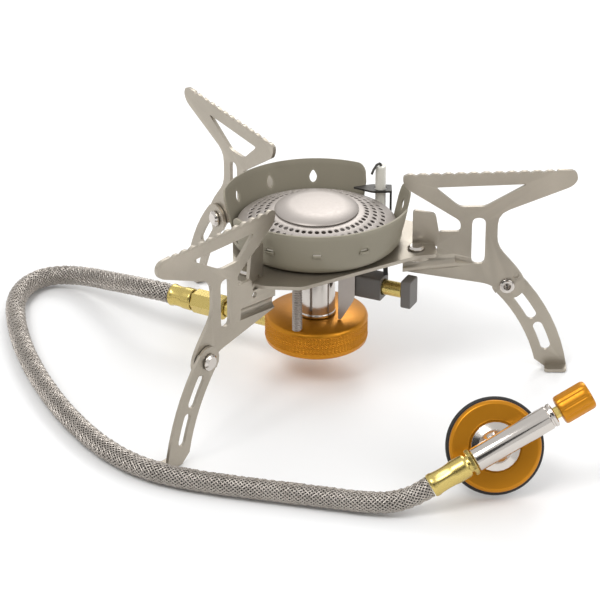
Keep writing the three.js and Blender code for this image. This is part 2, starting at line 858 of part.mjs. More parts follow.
const ceramicRadius = 2.2;
const ceramicBottom = plateUnder - 1;
const ceramicTop = plateTop + 20.5;
const wireRadius = 0.5;
piece(
  "electrode_ceramic",
  turned(
    [
      [wireRadius + gap, ceramicBottom],
      [ceramicRadius - 0.3, ceramicBottom],
      [ceramicRadius - 0.1, ceramicTop - 0.4],
      [ceramicRadius - 0.5, ceramicTop],
      [wireRadius + gap, ceramicTop],
    ],
    16,
  ).translate([...electrodeSpot, 0]),
  ceramic,
);
const [wireX, wireY] = electrodeSpot;
const wireTop = ceramicTop + 3;
piece(
  "electrode_wire",
  disc(wireRadius, ceramicBottom, wireTop, wireX, wireY, 8).add(
    bar([wireX, wireY, wireTop - 0.3], [wireX - 5, wireY - 4.4, wireTop + 1.2], wireRadius, 8),
  ),
  steel,
);
const stemX = wireX + 4.4;
const strapHeight = plateTop + 10.3;
const strap = roundedShape([
  [wireX - 10.6, wireY + 1, 0.5],
  [wireX - 3, wireY - 3.4, 1.5],
  [stemX, wireY - 3, 0.3],
  [stemX, wireY + 3, 0.3],
  [wireX - 3, wireY + 3.6, 1.5],
]);
strap.holes.push(circlePath(wireX, wireY, ceramicRadius + gap));
const electrodeBracket = flatSheet(strap, wall, strapHeight)
  .add(box(stemX - wall, stemX, wireY - 1.4, wireY + 1.4, plateUnder - gap - wall, strapHeight + wall))
  .add(box(wireX - 5, stemX, wireY - 6.6, wireY - 3, plateUnder - gap - wall, plateUnder - gap))
  .add(box(stemX - wall, stemX, wireY - 6.6, wireY + 1.4, plateUnder - gap - wall, plateUnder - gap));
piece("electrode_bracket", electrodeBracket, steel);

const leadRadius = 0.9;
const leadRoute = [
  [26.4, -6.6, igniterHeight + 4.6 + gap],
  [26.2, -5.4, igniterHeight + 8.4],
  [25.2, 2, plateUnder - 4.6],
  [24.6, 12, plateUnder - 4.8],
  [wireX, wireY - 1, plateUnder - 4],
  [wireX, wireY, ceramicBottom - gap],
];
const leadSection = circlePath(0, 0, leadRadius, THREE.Shape);
const leadCurve = new THREE.CatmullRomCurve3(
  leadRoute.map((spot) => new THREE.Vector3(...spot)),
  false,
  "centripetal",
);
piece(
  "ignition_lead",
  solid(
    new THREE.ExtrudeGeometry(leadSection, {
      steps: 24,
      curveSegments: 4,
      bevelEnabled: false,
      extrudePath: leadCurve,
    }),
  ),
  black,
);

// ---- centre the stove, without the hose and valve, on its own base ----
const onHose = [
  "gas_hose",
  "hose_ferrule_valve",
  "hose_union_nut",
  "valve_body",
  "valve_spindle",
  "valve_knob",
  "adaptor_disc",
  "rubber_pad",
  "seal_ring",
  "pin_depressor",
];
stove.updateMatrixWorld(true);
const stand = new THREE.Box3();
stove.traverse((item) => {
  if (item.isMesh && !onHose.includes(item.name)) stand.expandByObject(item, true);
});
const middle = stand.getCenter(new THREE.Vector3());
stove.position.set(-middle.x, -middle.y, -stand.min.z);

export default stove;
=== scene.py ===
# %% [markdown]
# A canister stove for the rucksack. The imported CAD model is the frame: it holds every size and every joint.
# This lesson dresses that frame. It loads it, sets the camera, lays the hose, and then finishes each piece
# in turn, from the burner outwards. Sizes here are in metres, as Blender's own unit is.

# %% The frame and the shared values
import json
import math

import bmesh
import bpy
from mathutils import Matrix, Vector


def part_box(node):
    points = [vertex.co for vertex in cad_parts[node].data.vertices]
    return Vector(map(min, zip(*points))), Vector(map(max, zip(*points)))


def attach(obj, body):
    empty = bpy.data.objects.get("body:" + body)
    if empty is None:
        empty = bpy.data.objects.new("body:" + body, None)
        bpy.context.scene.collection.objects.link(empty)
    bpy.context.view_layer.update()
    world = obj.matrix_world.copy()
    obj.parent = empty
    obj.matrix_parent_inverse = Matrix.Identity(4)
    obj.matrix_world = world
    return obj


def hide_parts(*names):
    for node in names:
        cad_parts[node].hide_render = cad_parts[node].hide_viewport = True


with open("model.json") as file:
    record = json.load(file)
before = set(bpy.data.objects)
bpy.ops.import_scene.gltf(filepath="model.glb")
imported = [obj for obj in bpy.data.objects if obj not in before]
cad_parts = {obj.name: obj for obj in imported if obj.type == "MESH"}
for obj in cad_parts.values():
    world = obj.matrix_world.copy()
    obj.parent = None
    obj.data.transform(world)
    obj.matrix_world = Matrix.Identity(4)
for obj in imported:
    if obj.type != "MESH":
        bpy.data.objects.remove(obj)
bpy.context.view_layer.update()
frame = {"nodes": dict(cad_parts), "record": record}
MM = 0.001
nodes = frame["nodes"]
body_of_node = {
    node: body for body, members in frame["record"]["behaviour"]["bodies"].items() for node in members
}
slot_of_node = {row["node"]: row["material_slot"] for row in frame["record"]["subparts"]}
SIDES = ("right", "back", "front")


def centre_of(node):
    low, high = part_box(node)
    return (Vector(low) + Vector(high)) / 2


burner_axis = centre_of("burner_cap")
print("burner axis at", [round(value, 4) for value in burner_axis])

# %% [markdown]
# The camera looks slightly down on the stove through a long lens, from about a metre away. A long lens keeps
# the three arms nearly the same size, so the shapes can be compared. The camera and the cord come first,
# because the hose is the one piece whose place depends on what the camera can see.

# %% Camera
VIEW_DOWN = math.radians(26.76)
VIEW_DISTANCE = 1.1
LENS = 171.0
SENSOR_WIDTH = 36.0
AIM_LEFT_OF_AXIS = 6.33 * MM
AIM_HEIGHT = 29.28 * MM
look_at = Vector((burner_axis.x - AIM_LEFT_OF_AXIS, burner_axis.y, AIM_HEIGHT))
view_way = Vector((0, math.cos(VIEW_DOWN), -math.sin(VIEW_DOWN)))
camera_data = bpy.data.cameras.new("studio_camera")
camera_data.lens = LENS
camera_data.sensor_width = SENSOR_WIDTH
camera = bpy.data.objects.new("studio_camera", camera_data)
camera.location = look_at - view_way * VIEW_DISTANCE
camera.rotation_euler = (math.pi / 2 - VIEW_DOWN, 0, 0)
bpy.context.scene.collection.objects.link(camera)
bpy.context.scene.camera = camera
print("camera at", [round(value, 3) for value in camera.location])

# %% [markdown]
# A few helpers serve every piece. `add_piece` links a mesh, lets it ride on the body of the CAD node it
# stands for, and hides that node. `smooth` shades a mesh round, but keeps its real corners crisp.

# %% Helpers for pieces
MERGE_DISTANCE = 1e-6


def mesh_from(name, vertices, faces):
    mesh = bpy.data.meshes.new(name)
    mesh.from_pydata([tuple(vertex) for vertex in vertices], [], faces)
    mesh.validate()
    shape = bmesh.new()
    shape.from_mesh(mesh)
    bmesh.ops.remove_doubles(shape, verts=shape.verts, dist=MERGE_DISTANCE)
    bmesh.ops.recalc_face_normals(shape, faces=shape.faces)
    shape.to_mesh(mesh)
    shape.free()
    return mesh


def smooth(mesh, angle=32):
    mesh.polygons.foreach_set("use_smooth", [True] * len(mesh.polygons))
    mesh.set_sharp_from_angle(angle=math.radians(angle))


def add_piece(name, mesh, node, material, replaced=True):
    piece = bpy.data.objects.new(name, mesh)
    bpy.context.scene.collection.objects.link(piece)
    mesh.materials.clear()
    mesh.materials.append(material)
    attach(piece, body_of_node[node])
    if replaced:
        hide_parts(node)
    print(name, len(mesh.polygons), "faces")
    return piece


def apply_modifiers(piece):
    # Turns the piece's live modifiers into plain mesh.
    bpy.context.view_layer.update()
    evaluated = piece.evaluated_get(bpy.context.evaluated_depsgraph_get())
    mesh = bpy.data.meshes.new_from_object(evaluated)
    piece.modifiers.clear()
    old, piece.data = piece.data, mesh
    bpy.data.meshes.remove(old)
    return mesh


def input_named(tree, name):
    # The identifier of the Geometry Nodes tree's input with this name.
    for item in tree.interface.items_tree:
        if item.item_type == "SOCKET" and item.in_out == "INPUT" and item.name == name:
            return item.identifier
    raise KeyError(name)


# %% [markdown]
# Metal is never one flat colour. Rolled sheet has a fine grain, pressed parts have clouds of slightly
# different polish, and handled edges are brighter. Two shader node groups make these effects, and every
# material below places them with its own values.

# %% Shader groups: grain and clouds
def add_node(tree, kind, operation=None, values=None):
    # A new node in the tree, with its operation and some of its inputs set.
    node = tree.nodes.new(kind)
    if operation:
        node.operation = operation
    for socket, value in (values or {}).items():
        node.inputs[socket].default_value = value
    return node


def new_group(name, inputs, outputs):
    group = bpy.data.node_groups.new(name, "ShaderNodeTree")
    for socket, value in inputs.items():
        made = group.interface.new_socket(socket, in_out="INPUT", socket_type="NodeSocketFloat")
        made.default_value = value
    for socket in outputs:
        group.interface.new_socket(socket, in_out="OUTPUT", socket_type="NodeSocketFloat")
    return group, group.nodes.new("NodeGroupInput"), group.nodes.new("NodeGroupOutput")


def make_grain_group():
    group, inside, outside = new_group(
        "rolled_grain", {"Scale": 900.0, "Stretch": 12.0, "Contrast": 1.0}, ("Height", "Mask")
    )
    coordinates = add_node(group, "ShaderNodeTexCoord")
    stretch = add_node(group, "ShaderNodeCombineXYZ", None, {"X": 1.0, "Y": 1.0})
    scaled = add_node(group, "ShaderNodeVectorMath", "MULTIPLY")
    noise = add_node(group, "ShaderNodeTexNoise", None, {"Detail": 4.0, "Roughness": 0.6})
    centred = add_node(group, "ShaderNodeMath", "SUBTRACT", {1: 0.5})
    strong = add_node(group, "ShaderNodeMath", "MULTIPLY")
    link = group.links.new
    link(inside.outputs["Stretch"], stretch.inputs["Z"])
    link(coordinates.outputs["Object"], scaled.inputs[0])
    link(stretch.outputs["Vector"], scaled.inputs[1])
    link(scaled.outputs["Vector"], noise.inputs["Vector"])
    link(inside.outputs["Scale"], noise.inputs["Scale"])
    link(noise.outputs["Fac"], centred.inputs[0])
    link(centred.outputs["Value"], strong.inputs[0])
    link(inside.outputs["Contrast"], strong.inputs[1])
    link(strong.outputs["Value"], outside.inputs["Height"])
    link(noise.outputs["Fac"], outside.inputs["Mask"])
    return group


def make_wear_group():
    group, inside, outside = new_group("handled_edges", {"Amount": 1.0, "Clouds": 60.0}, ("Edge", "Cloud"))
    geometry = add_node(group, "ShaderNodeNewGeometry")
    ramp = add_node(group, "ShaderNodeMapRange", None, {"From Min": 0.52, "From Max": 0.62})
    coordinates = add_node(group, "ShaderNodeTexCoord")
    noise = add_node(group, "ShaderNodeTexNoise", None, {"Detail": 3.0})
    edge = add_node(group, "ShaderNodeMath", "MULTIPLY")
    broken = add_node(group, "ShaderNodeMath", "MULTIPLY")
    link = group.links.new
    link(geometry.outputs["Pointiness"], ramp.inputs["Value"])
    link(ramp.outputs["Result"], edge.inputs[0])
    link(inside.outputs["Amount"], edge.inputs[1])
    link(coordinates.outputs["Object"], noise.inputs["Vector"])
    link(inside.outputs["Clouds"], noise.inputs["Scale"])
    link(edge.outputs["Value"], broken.inputs[0])
    link(noise.outputs["Fac"], broken.inputs[1])
    link(broken.outputs["Value"], outside.inputs["Edge"])
    link(noise.outputs["Fac"], outside.inputs["Cloud"])
    return group


GRAIN = make_grain_group()
WEAR = make_wear_group()

# %% [markdown]
# One function builds each finish from the two groups. The clouds move the colour and the roughness a
# little, the edges get lighter, and the grain feeds a Bump node. What is the same all over, such as the
# metalness, is set on the shader itself.

# %% Finishes
BUMP_DISTANCE = 0.1 * MM
ROUGHNESS_SWING = 1.5
RUBBED_GAIN = 1.35
RUBBED_LIFT = 0.04


def finish(
    name, color, roughness, metallic, grain=900.0, stretch=1.0, bump=0.1, vary=0.12, edge=0.5, coat=0.0
):
    material = bpy.data.materials.new(name)
    material.use_nodes = True
    tree = material.node_tree
    shader = tree.nodes["Principled BSDF"]
    shader.inputs["Metallic"].default_value = metallic
    shader.inputs["Coat Weight"].default_value = coat
    grained = tree.nodes.new("ShaderNodeGroup")
    grained.node_tree = GRAIN
    grained.inputs["Scale"].default_value = grain
    grained.inputs["Stretch"].default_value = stretch
    worn = tree.nodes.new("ShaderNodeGroup")
    worn.node_tree = WEAR
    worn.inputs["Amount"].default_value = edge
    dark = [value * (1 - vary) for value in color]
    light = [min(1.0, value * (1 + vary)) for value in color]
    clouds = tree.nodes.new("ShaderNodeMix")
    clouds.data_type = "RGBA"
    clouds.inputs["A"].default_value = (*dark, 1)
    clouds.inputs["B"].default_value = (*light, 1)
    rubbed = tree.nodes.new("ShaderNodeMix")
    rubbed.data_type = "RGBA"
    bright = [min(1.0, value * RUBBED_GAIN + RUBBED_LIFT) for value in color]
    rubbed.inputs["B"].default_value = (*bright, 1)
    smoothest = max(0.03, roughness * (1 - ROUGHNESS_SWING * vary))
    roughest = min(1.0, roughness * (1 + ROUGHNESS_SWING * vary))
    spread = {"From Min": 0.3, "From Max": 0.7, "To Min": smoothest, "To Max": roughest}
    rough = add_node(tree, "ShaderNodeMapRange", None, spread)
    bumps = add_node(tree, "ShaderNodeBump", None, {"Strength": bump, "Distance": BUMP_DISTANCE})
    link = tree.links.new
    link(worn.outputs["Cloud"], clouds.inputs["Factor"])
    link(clouds.outputs["Result"], rubbed.inputs["A"])
    link(worn.outputs["Edge"], rubbed.inputs["Factor"])
    link(rubbed.outputs["Result"], shader.inputs["Base Color"])
    link(grained.outputs["Mask"], rough.inputs["Value"])
    link(rough.outputs["Result"], shader.inputs["Roughness"])
    link(grained.outputs["Height"], bumps.inputs["Height"])
    link(bumps.outputs["Normal"], shader.inputs["Normal"])
    return material


sheet_steel = finish("satin_sheet_steel", (0.40, 0.36, 0.30), 0.40, 0.85, 1400, 1.0, 0.25, 0.10)
turned_steel = finish("polished_steel", (0.62, 0.58, 0.54), 0.14, 1.0, 700, 6.0, 0.05, 0.06, 0.3)
head_steel = finish("burner_steel", (0.44, 0.40, 0.37), 0.46, 0.7, 1200, 1.0, 0.12, 0.07)
screen_coat = finish("windscreen_coat", (0.275, 0.25, 0.19), 0.55, 0.25, 2200, 1.0, 0.2, 0.06, 0.4)
blued_steel = finish("blued_steel", (0.05, 0.047, 0.042), 0.38, 0.7, 1600, 1.0, 0.1, 0.1, 0.5)
orange_anodised = finish("orange_anodised", (0.56, 0.225, 0.01), 0.36, 0.75, 1500, 1.0, 0.1, 0.07, 0.25)
turned_brass = finish("turned_brass", (0.64, 0.50, 0.17), 0.27, 1.0, 2600, 1.0, 0.03, 0.04, 0.3)
braid_wire = finish("braid_wire", (0.46, 0.42, 0.38), 0.30, 1.0, 2500, 1.0, 0.05, 0.18, 0.2)
braid_liner = finish("braid_liner", (0.03, 0.028, 0.026), 0.7, 0.2, 2000, 1.0, 0.1, 0.1, 0.0)
black_rubber = finish("black_rubber", (0.015, 0.015, 0.015), 0.6, 0.0, 2600, 1.0, 0.3, 0.2, 0.1)
grey_plastic = finish("grey_plastic", (0.12, 0.11, 0.10), 0.42, 0.0, 2600, 1.0, 0.25, 0.1, 0.3)
white_ceramic = finish("white_ceramic", (0.72, 0.70, 0.63), 0.28, 0.0, 1500, 1.0, 0.05, 0.03, 0.0, 0.4)
by_slot = {
    "steel": sheet_steel,
    "polished": turned_steel,
    "screen_coat": screen_coat,
    "orange_anodised": orange_anodised,
    "brass": turned_brass,
    "braid": braid_wire,
    "black_rubber": black_rubber,
    "grey_plastic": grey_plastic,
    "ceramic": white_ceramic,
}
print(len(by_slot), "finishes")

# %% [markdown]
# The gas hose is a rubber liner in a sleeve of woven steel wire. It leaves the stove's brass ferrule, runs
# over the ground in one wide loop and rises a little to the valve. The route is given and is the
# same as the CAD's, so the points are a list.

# %% Hose route
cad_shift = Vector((burner_axis.x, burner_axis.y, 0))
VALVE_WAY = Vector((0.863, 0.227, 0.451)).normalized()
VALVE_AT = Vector((63.6, -102.6, 22.4)) * MM + cad_shift
INLET_AIM = math.radians(150.5)
PLATE_TOP = 55.2
TUBE_BELOW_PLATE = 30.8
INLET_DROP = 5.6
HOSE_START_REACH = 43.8
HOSE_END_BACK = 27.6
inlet_rim = Vector((-19, 4.5, 0)) * MM
inlet_height = (PLATE_TOP - TUBE_BELOW_PLATE - INLET_DROP) * MM
inlet_way = Vector((math.cos(INLET_AIM), math.sin(INLET_AIM), 0))
hose_start = cad_shift + inlet_rim + inlet_way * HOSE_START_REACH * MM + Vector((0, 0, inlet_height))
hose_end = VALVE_AT - VALVE_WAY * HOSE_END_BACK * MM
hose_route_mm = [
    (-60.6, 28.1, 18.8),
    (-66.4, 32.2, 18.1),
    (-72.8, 38.8, 16.2),
    (-79, 46.6, 13.6),
    (-85.4, 54.8, 10.8),
    (-92, 62.6, 8.2),
    (-99.2, 68.8, 6),
    (-106.4, 71.4, 4.7),
    (-113, 69.2, 4.3),
    (-117.8, 63.4, 4.2),
    (-120.6, 54.6, 4.2),
    (-121.2, 44, 4.2),
    (-119.8, 32, 4.2),
    (-117.4, 19, 4.2),
    (-114, 5.5, 4.2),
    (-109.6, -8.5, 4.2),
    (-104.4, -22.5, 4.2),
    (-98.4, -36.5, 4.2),
    (-91.6, -50, 4.2),
    (-83.8, -63, 4.2),
    (-75, -74.6, 4.2),
    (-65, -84, 4.2),
    (-53, -91, 4.2),
    (-39, -96, 4.2),
    (-24, -100, 4.2),
    (-9, -103.6, 4.2),
    (5, -107, 4.2),
    (16.5, -109.8, 4.3),
    (25.5, -111.3, 5.1),
    (32.9, -110.7, 6.9),
]
hose_points = [hose_start] + [Vector(spot) * MM + cad_shift for spot in hose_route_mm] + [hose_end]


def smooth_route(points, per_span=10):
    # A Catmull-Rom line through the points, with the same number of steps from each point to the next.
    line = []
    padded = [2 * points[0] - points[1]] + points + [2 * points[-1] - points[-2]]
    for i in range(1, len(padded) - 2):
        before, start, end, after = padded[i - 1 : i + 3]
        for step in range(per_span):
            t = step / per_span
            line.append(
                0.5
                * (
                    2 * start
                    + (end - before) * t
                    + (2 * before - 5 * start + 4 * end - after) * t * t
                    + (3 * start - before - 3 * end + after) * t**3
                )
            )
    return line + [points[-1]]


hose_line = smooth_route(hose_points)

# %% [markdown]
# The sleeve is woven: half the wires wind to the left and half to the right, and each goes over and under
# the others. A Geometry Nodes tree makes every wire from the one route: it copies the line, turns each
# copy about the route as it goes along, and lifts it and lowers it for the weave.

# %% Braid tree
WIRE_SIDES = 4


def make_braid_tree():
    tree = bpy.data.node_groups.new("braided_sleeve", "GeometryNodeTree")
    interface = tree.interface
    interface.new_socket("Geometry", in_out="INPUT", socket_type="NodeSocketGeometry")
    for name, kind, value in (
        ("Wires", "NodeSocketInt", 16),
        ("Turns", "NodeSocketFloat", 14.0),
        ("Radius", "NodeSocketFloat", 3.52 * MM),
        ("Lift", "NodeSocketFloat", 0.2 * MM),
        ("Wire Radius", "NodeSocketFloat", 0.31 * MM),
        ("Steps", "NodeSocketInt", 420),
    ):
        interface.new_socket(name, in_out="INPUT", socket_type=kind).default_value = value
    interface.new_socket("Wire", in_out="INPUT", socket_type="NodeSocketMaterial")
    interface.new_socket("Geometry", in_out="OUTPUT", socket_type="NodeSocketGeometry")
    inside = tree.nodes.new("NodeGroupInput")
    outside = tree.nodes.new("NodeGroupOutput")
    link = tree.links.new

    def calculate(operation, first, second=None):
        node = add_node(tree, "ShaderNodeMath", operation)
        for socket, value in zip(node.inputs, (first, second)):
            if value is None:
                continue
            if isinstance(value, (int, float)):
                socket.default_value = value
            else:
                link(value, socket)
        return node.outputs[0]

    resample = tree.nodes.new("GeometryNodeResampleCurve")
    link(inside.outputs["Geometry"], resample.inputs["Curve"])
    link(inside.outputs["Steps"], resample.inputs["Count"])
    tangent = tree.nodes.new("GeometryNodeInputTangent")
    across = add_node(tree, "ShaderNodeVectorMath", "CROSS_PRODUCT", {1: (0, 0, 1)})
    link(tangent.outputs["Tangent"], across.inputs[0])
    side = add_node(tree, "ShaderNodeVectorMath", "NORMALIZE")
    link(across.outputs["Vector"], side.inputs[0])
    upward = add_node(tree, "ShaderNodeVectorMath", "CROSS_PRODUCT")
    link(side.outputs["Vector"], upward.inputs[0])
    link(tangent.outputs["Tangent"], upward.inputs[1])
    kept = tree.nodes.new("GeometryNodeCaptureAttribute")
    kept.domain = "POINT"
    kept.capture_items.new("VECTOR", "Side")
    kept.capture_items.new("VECTOR", "Up")
    kept.capture_items.new("FLOAT", "Along")
    factor = tree.nodes.new("GeometryNodeSplineParameter")
    link(resample.outputs["Curve"], kept.inputs["Geometry"])
    link(side.outputs["Vector"], kept.inputs["Side"])
    link(upward.outputs["Vector"], kept.inputs["Up"])
    link(factor.outputs["Factor"], kept.inputs["Along"])
    doubled = calculate("MULTIPLY", inside.outputs["Wires"], 2.0)
    copies = tree.nodes.new("GeometryNodeDuplicateElements")
    copies.domain = "SPLINE"
    link(kept.outputs["Geometry"], copies.inputs["Geometry"])
    link(doubled, copies.inputs["Amount"])
    number = copies.outputs["Duplicate Index"]
    left = calculate("LESS_THAN", number, inside.outputs["Wires"])
    way = calculate("SUBTRACT", calculate("MULTIPLY", left, 2.0), 1.0)
    phase = calculate("DIVIDE", calculate("MULTIPLY", number, 2 * math.pi), inside.outputs["Wires"])
    turned = calculate("MULTIPLY", kept.outputs["Along"], inside.outputs["Turns"])
    wound = calculate("MULTIPLY", turned, 2 * math.pi)
    angle = calculate("ADD", calculate("MULTIPLY", wound, way), phase)
    waves = calculate("MULTIPLY", inside.outputs["Wires"], 0.25)
    crossings = calculate("MULTIPLY", wound, calculate("MULTIPLY", waves, 2.0))
    weave = calculate("SINE", calculate("ADD", crossings, phase))
    height = calculate("MULTIPLY", calculate("MULTIPLY", weave, inside.outputs["Lift"]), way)
    reach = calculate("ADD", inside.outputs["Radius"], height)

    def scaled(vector, amount):
        node = add_node(tree, "ShaderNodeVectorMath", "SCALE")
        link(vector, node.inputs[0])
        link(amount, node.inputs["Scale"])
        return node.outputs["Vector"]

    offset = add_node(tree, "ShaderNodeVectorMath", "ADD")
    for socket, way_out, wave in ((0, "Side", "COSINE"), (1, "Up", "SINE")):
        amount = calculate("MULTIPLY", calculate(wave, angle), reach)
        link(scaled(kept.outputs[way_out], amount), offset.inputs[socket])
    place = tree.nodes.new("GeometryNodeSetPosition")
    link(copies.outputs["Geometry"], place.inputs["Geometry"])
    link(offset.outputs["Vector"], place.inputs["Offset"])
    section = add_node(tree, "GeometryNodeCurvePrimitiveCircle", None, {"Resolution": WIRE_SIDES})
    link(inside.outputs["Wire Radius"], section.inputs["Radius"])
    wire = add_node(tree, "GeometryNodeCurveToMesh", None, {"Fill Caps": True})
    link(place.outputs["Geometry"], wire.inputs["Curve"])
    link(section.outputs["Curve"], wire.inputs["Profile Curve"])
    realize = tree.nodes.new("GeometryNodeRealizeInstances")
    link(wire.outputs["Mesh"], realize.inputs["Geometry"])
    colour = tree.nodes.new("GeometryNodeSetMaterial")
    link(realize.outputs["Geometry"], colour.inputs["Geometry"])
    link(inside.outputs["Wire"], colour.inputs["Material"])
    link(colour.outputs["Geometry"], outside.inputs["Geometry"])
    return tree


def route_curve(name, points):
    curve = bpy.data.curves.new(name, "CURVE")
    curve.dimensions = "3D"
    spline = curve.splines.new("POLY")
    spline.points.add(len(points) - 1)
    for point, spot in zip(spline.points, points):
        point.co = (*spot, 1)
    return curve


def frames_along(points):
    # Each point of a line that never runs straight up, with its side and its upward way.
    for i, point in enumerate(points):
        along = (points[min(i + 1, len(points) - 1)] - points[max(i - 1, 0)]).normalized()
        side = along.cross(Vector((0, 0, 1))).normalized()
        yield point, side, side.cross(along)


def tube_mesh(name, points, radius, sides=16):
    vertices = []
    for point, side, up in frames_along(points):
        for k in range(sides):
            angle = 2 * math.pi * k / sides
            vertices.append(point + (side * math.cos(angle) + up * math.sin(angle)) * radius)
    faces = [list(range(sides)), [len(vertices) - sides + k for k in reversed(range(sides))]]
    for row in range(len(points) - 1):
        for k in range(sides):
            a = row * sides + k
            b = row * sides + (k + 1) % sides
            faces.append([a, a + sides, b + sides, b])
    return mesh_from(name, vertices, faces)


# %% [markdown]
# The tree is put on the route as a modifier, its result is kept as a plain mesh, and the liner is a round
# tube under the wires. The braid is the outer surface, so the liner's radius is what is left inside it.

# %% Hose
LINER_RADIUS = 3.4 * MM
braid_tree = make_braid_tree()
hose_curve = route_curve("hose_route", hose_line)
sleeve = bpy.data.objects.new("hose_braid", hose_curve)
bpy.context.scene.collection.objects.link(sleeve)
weaver = sleeve.modifiers.new("weave", "NODES")
weaver.node_group = braid_tree
weaver[input_named(braid_tree, "Wire")] = braid_wire
bpy.context.view_layer.update()
woven = bpy.data.meshes.new_from_object(sleeve.evaluated_get(bpy.context.evaluated_depsgraph_get()))
bpy.data.objects.remove(sleeve)
woven.name = "hose_braid"
braid = bpy.data.objects.new("hose_braid", woven)
bpy.context.scene.collection.objects.link(braid)
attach(braid, body_of_node["gas_hose"])
liner = tube_mesh("hose_liner", hose_line, LINER_RADIUS)
smooth(liner)
hose = add_piece("hose_liner", liner, "gas_hose", braid_liner)
print("braid", len(woven.polygons), "faces")

# %% [markdown]
# Pressed and turned parts keep the CAD's shape. What the CAD's faceted solid lacks is the small round on
# each edge that catches the light. A copy of the node's mesh is merged, its flat faces are joined, and a
# narrow Bevel modifier rounds every real corner.

# %% Edge rounding for the CAD shapes
CAD_MERGE_DISTANCE = 2e-6
FLAT_WITHIN = math.radians(1.0)


def rounded_copy(node, material, width, angle=34, segments=2, name=None):
    mesh = nodes[node].data.copy()
    mesh.name = name or node + "_finished"
    shape = bmesh.new()
    shape.from_mesh(mesh)
    bmesh.ops.remove_doubles(shape, verts=shape.verts, dist=CAD_MERGE_DISTANCE)
    bmesh.ops.dissolve_limit(
        shape, angle_limit=FLAT_WITHIN, verts=shape.verts, edges=shape.edges, delimit=set()
    )
    shape.to_mesh(mesh)
    shape.free()
    smooth(mesh, angle)
    piece = add_piece(mesh.name, mesh, node, material)
    bevel = piece.modifiers.new("edge_round", "BEVEL")
    bevel.width = width
    bevel.segments = segments
    bevel.limit_method = "ANGLE"
    bevel.angle_limit = math.radians(angle)
    bevel.harden_normals = True
    bevel.use_clamp_overlap = True
    return piece


PRESSED_EDGE = 0.18 * MM
TURNED_EDGE = 0.25 * MM
for side in SIDES:
    rounded_copy(f"arm_{side}", sheet_steel, PRESSED_EDGE)
    rounded_copy(f"leg_{side}", sheet_steel, PRESSED_EDGE)
    rounded_copy(f"pivot_rivet_{side}", turned_steel, PRESSED_EDGE, 40)
    rounded_copy(f"knee_rivet_{side}", turned_steel, PRESSED_EDGE, 40)
rounded_copy("base_plate", sheet_steel, PRESSED_EDGE)
rounded_copy("electrode_bracket", blued_steel, 0.1 * MM)
rounded_copy("igniter_bracket", head_steel, PRESSED_EDGE)
rounded_copy("igniter_button", grey_plastic, 0.4 * MM, 40, 3)
rounded_copy("igniter_body", grey_plastic, 0.3 * MM, 40, 3)
rounded_copy("igniter_plunger", turned_brass, TURNED_EDGE, 40)
rounded_copy("inlet_nut", turned_brass, TURNED_EDGE, 20)
rounded_copy("inlet_pipe", turned_brass, TURNED_EDGE, 40)
rounded_copy("burner_cup", head_steel, PRESSED_EDGE)

# %% [markdown]
# Some nodes are plain enough to stay as the CAD made them, such as the gas jet and the seal ring. They only
# need a finish, which their slot gives.

# %% Carried-over nodes
for node, shape in nodes.items():
    if node in slot_of_node:
        shape.data.materials.clear()
        shape.data.materials.append(by_slot[slot_of_node[node]])

# %% [markdown]
# Turned pieces, such as the jet housing, the cap and the valve's disc, are drawn as a profile and swung
# about an axis. Blender's Screw modifier does that, but a short function keeps full control of the mesh,
# and lets the knurl push single points in and out as it goes round.

# %% Turning
def turned_mesh(name, profile, place, steps=128, push=None):
    # profile: (radius, height) from the bottom's middle to the top's. push(angle, row) moves a radius.
    vertices = []
    faces = []
    for row, (radius, height) in enumerate(profile):
        for k in range(steps):
            angle = 2 * math.pi * k / steps
            reach = radius + (push(angle, row) if push else 0.0)
            vertices.append(place @ Vector((reach * math.cos(angle), reach * math.sin(angle), height)))
    for row in range(len(profile) - 1):
        for k in range(steps):
            a = row * steps + k
            b = row * steps + (k + 1) % steps
            faces.append([a, b, b + steps, a + steps])
    if profile[0] != profile[-1]:
        faces.append(list(reversed(range(steps))))
        faces.append(list(range(len(vertices) - steps, len(vertices))))
    return mesh_from(name, vertices, faces)


def add_turned(name, node, material, profile, place, steps, crisp, push=None):
    # A turned piece for this node, shaded round wherever its faces meet at less than the crisp angle.
    mesh = turned_mesh(name, profile, place, steps, push)
    smooth(mesh, crisp)
    add_piece(name, mesh, node, material)


LARGEST_SHARE = 0.45


def rounded_profile(points, radius, steps=4):
    # Rounds each corner between a profile's ends with a short curve, which stops short of its neighbours.
    points = [Vector(point) for point in points]
    result = [tuple(points[0])]
    for before, corner, after in zip(points, points[1:], points[2:]):
        reach_in = min(radius, (before - corner).length * LARGEST_SHARE)
        reach_out = min(radius, (after - corner).length * LARGEST_SHARE)
        start = corner + (before - corner).normalized() * reach_in
        end = corner + (after - corner).normalized() * reach_out
        for step in range(steps + 1):
            t = step / steps
            result.append(tuple(start * (1 - t) ** 2 + corner * 2 * t * (1 - t) + end * t * t))
    result.append(tuple(points[-1]))
    return result


def ring_profile(points, radius):
    # A rounded profile that closes on itself, for a piece with a bore.
    profile = rounded_profile(points, radius)
    return profile + [profile[0]]


def at_axis(height=0.0):
    return Matrix.Translation((burner_axis.x, burner_axis.y, height))


def around_burner(radius, angle, height):
    # The point at this radius and angle about the burner's axis.
    x = burner_axis.x + radius * math.cos(angle)
    y = burner_axis.y + radius * math.sin(angle)
    return Vector((x, y, height))


# %% [markdown]
# The jet housing is turned aluminium with a diamond knurl, which gives the fingers a grip. Two sets of
# slanting grooves cross, so each point's depth is the larger of two waves that climb opposite ways.

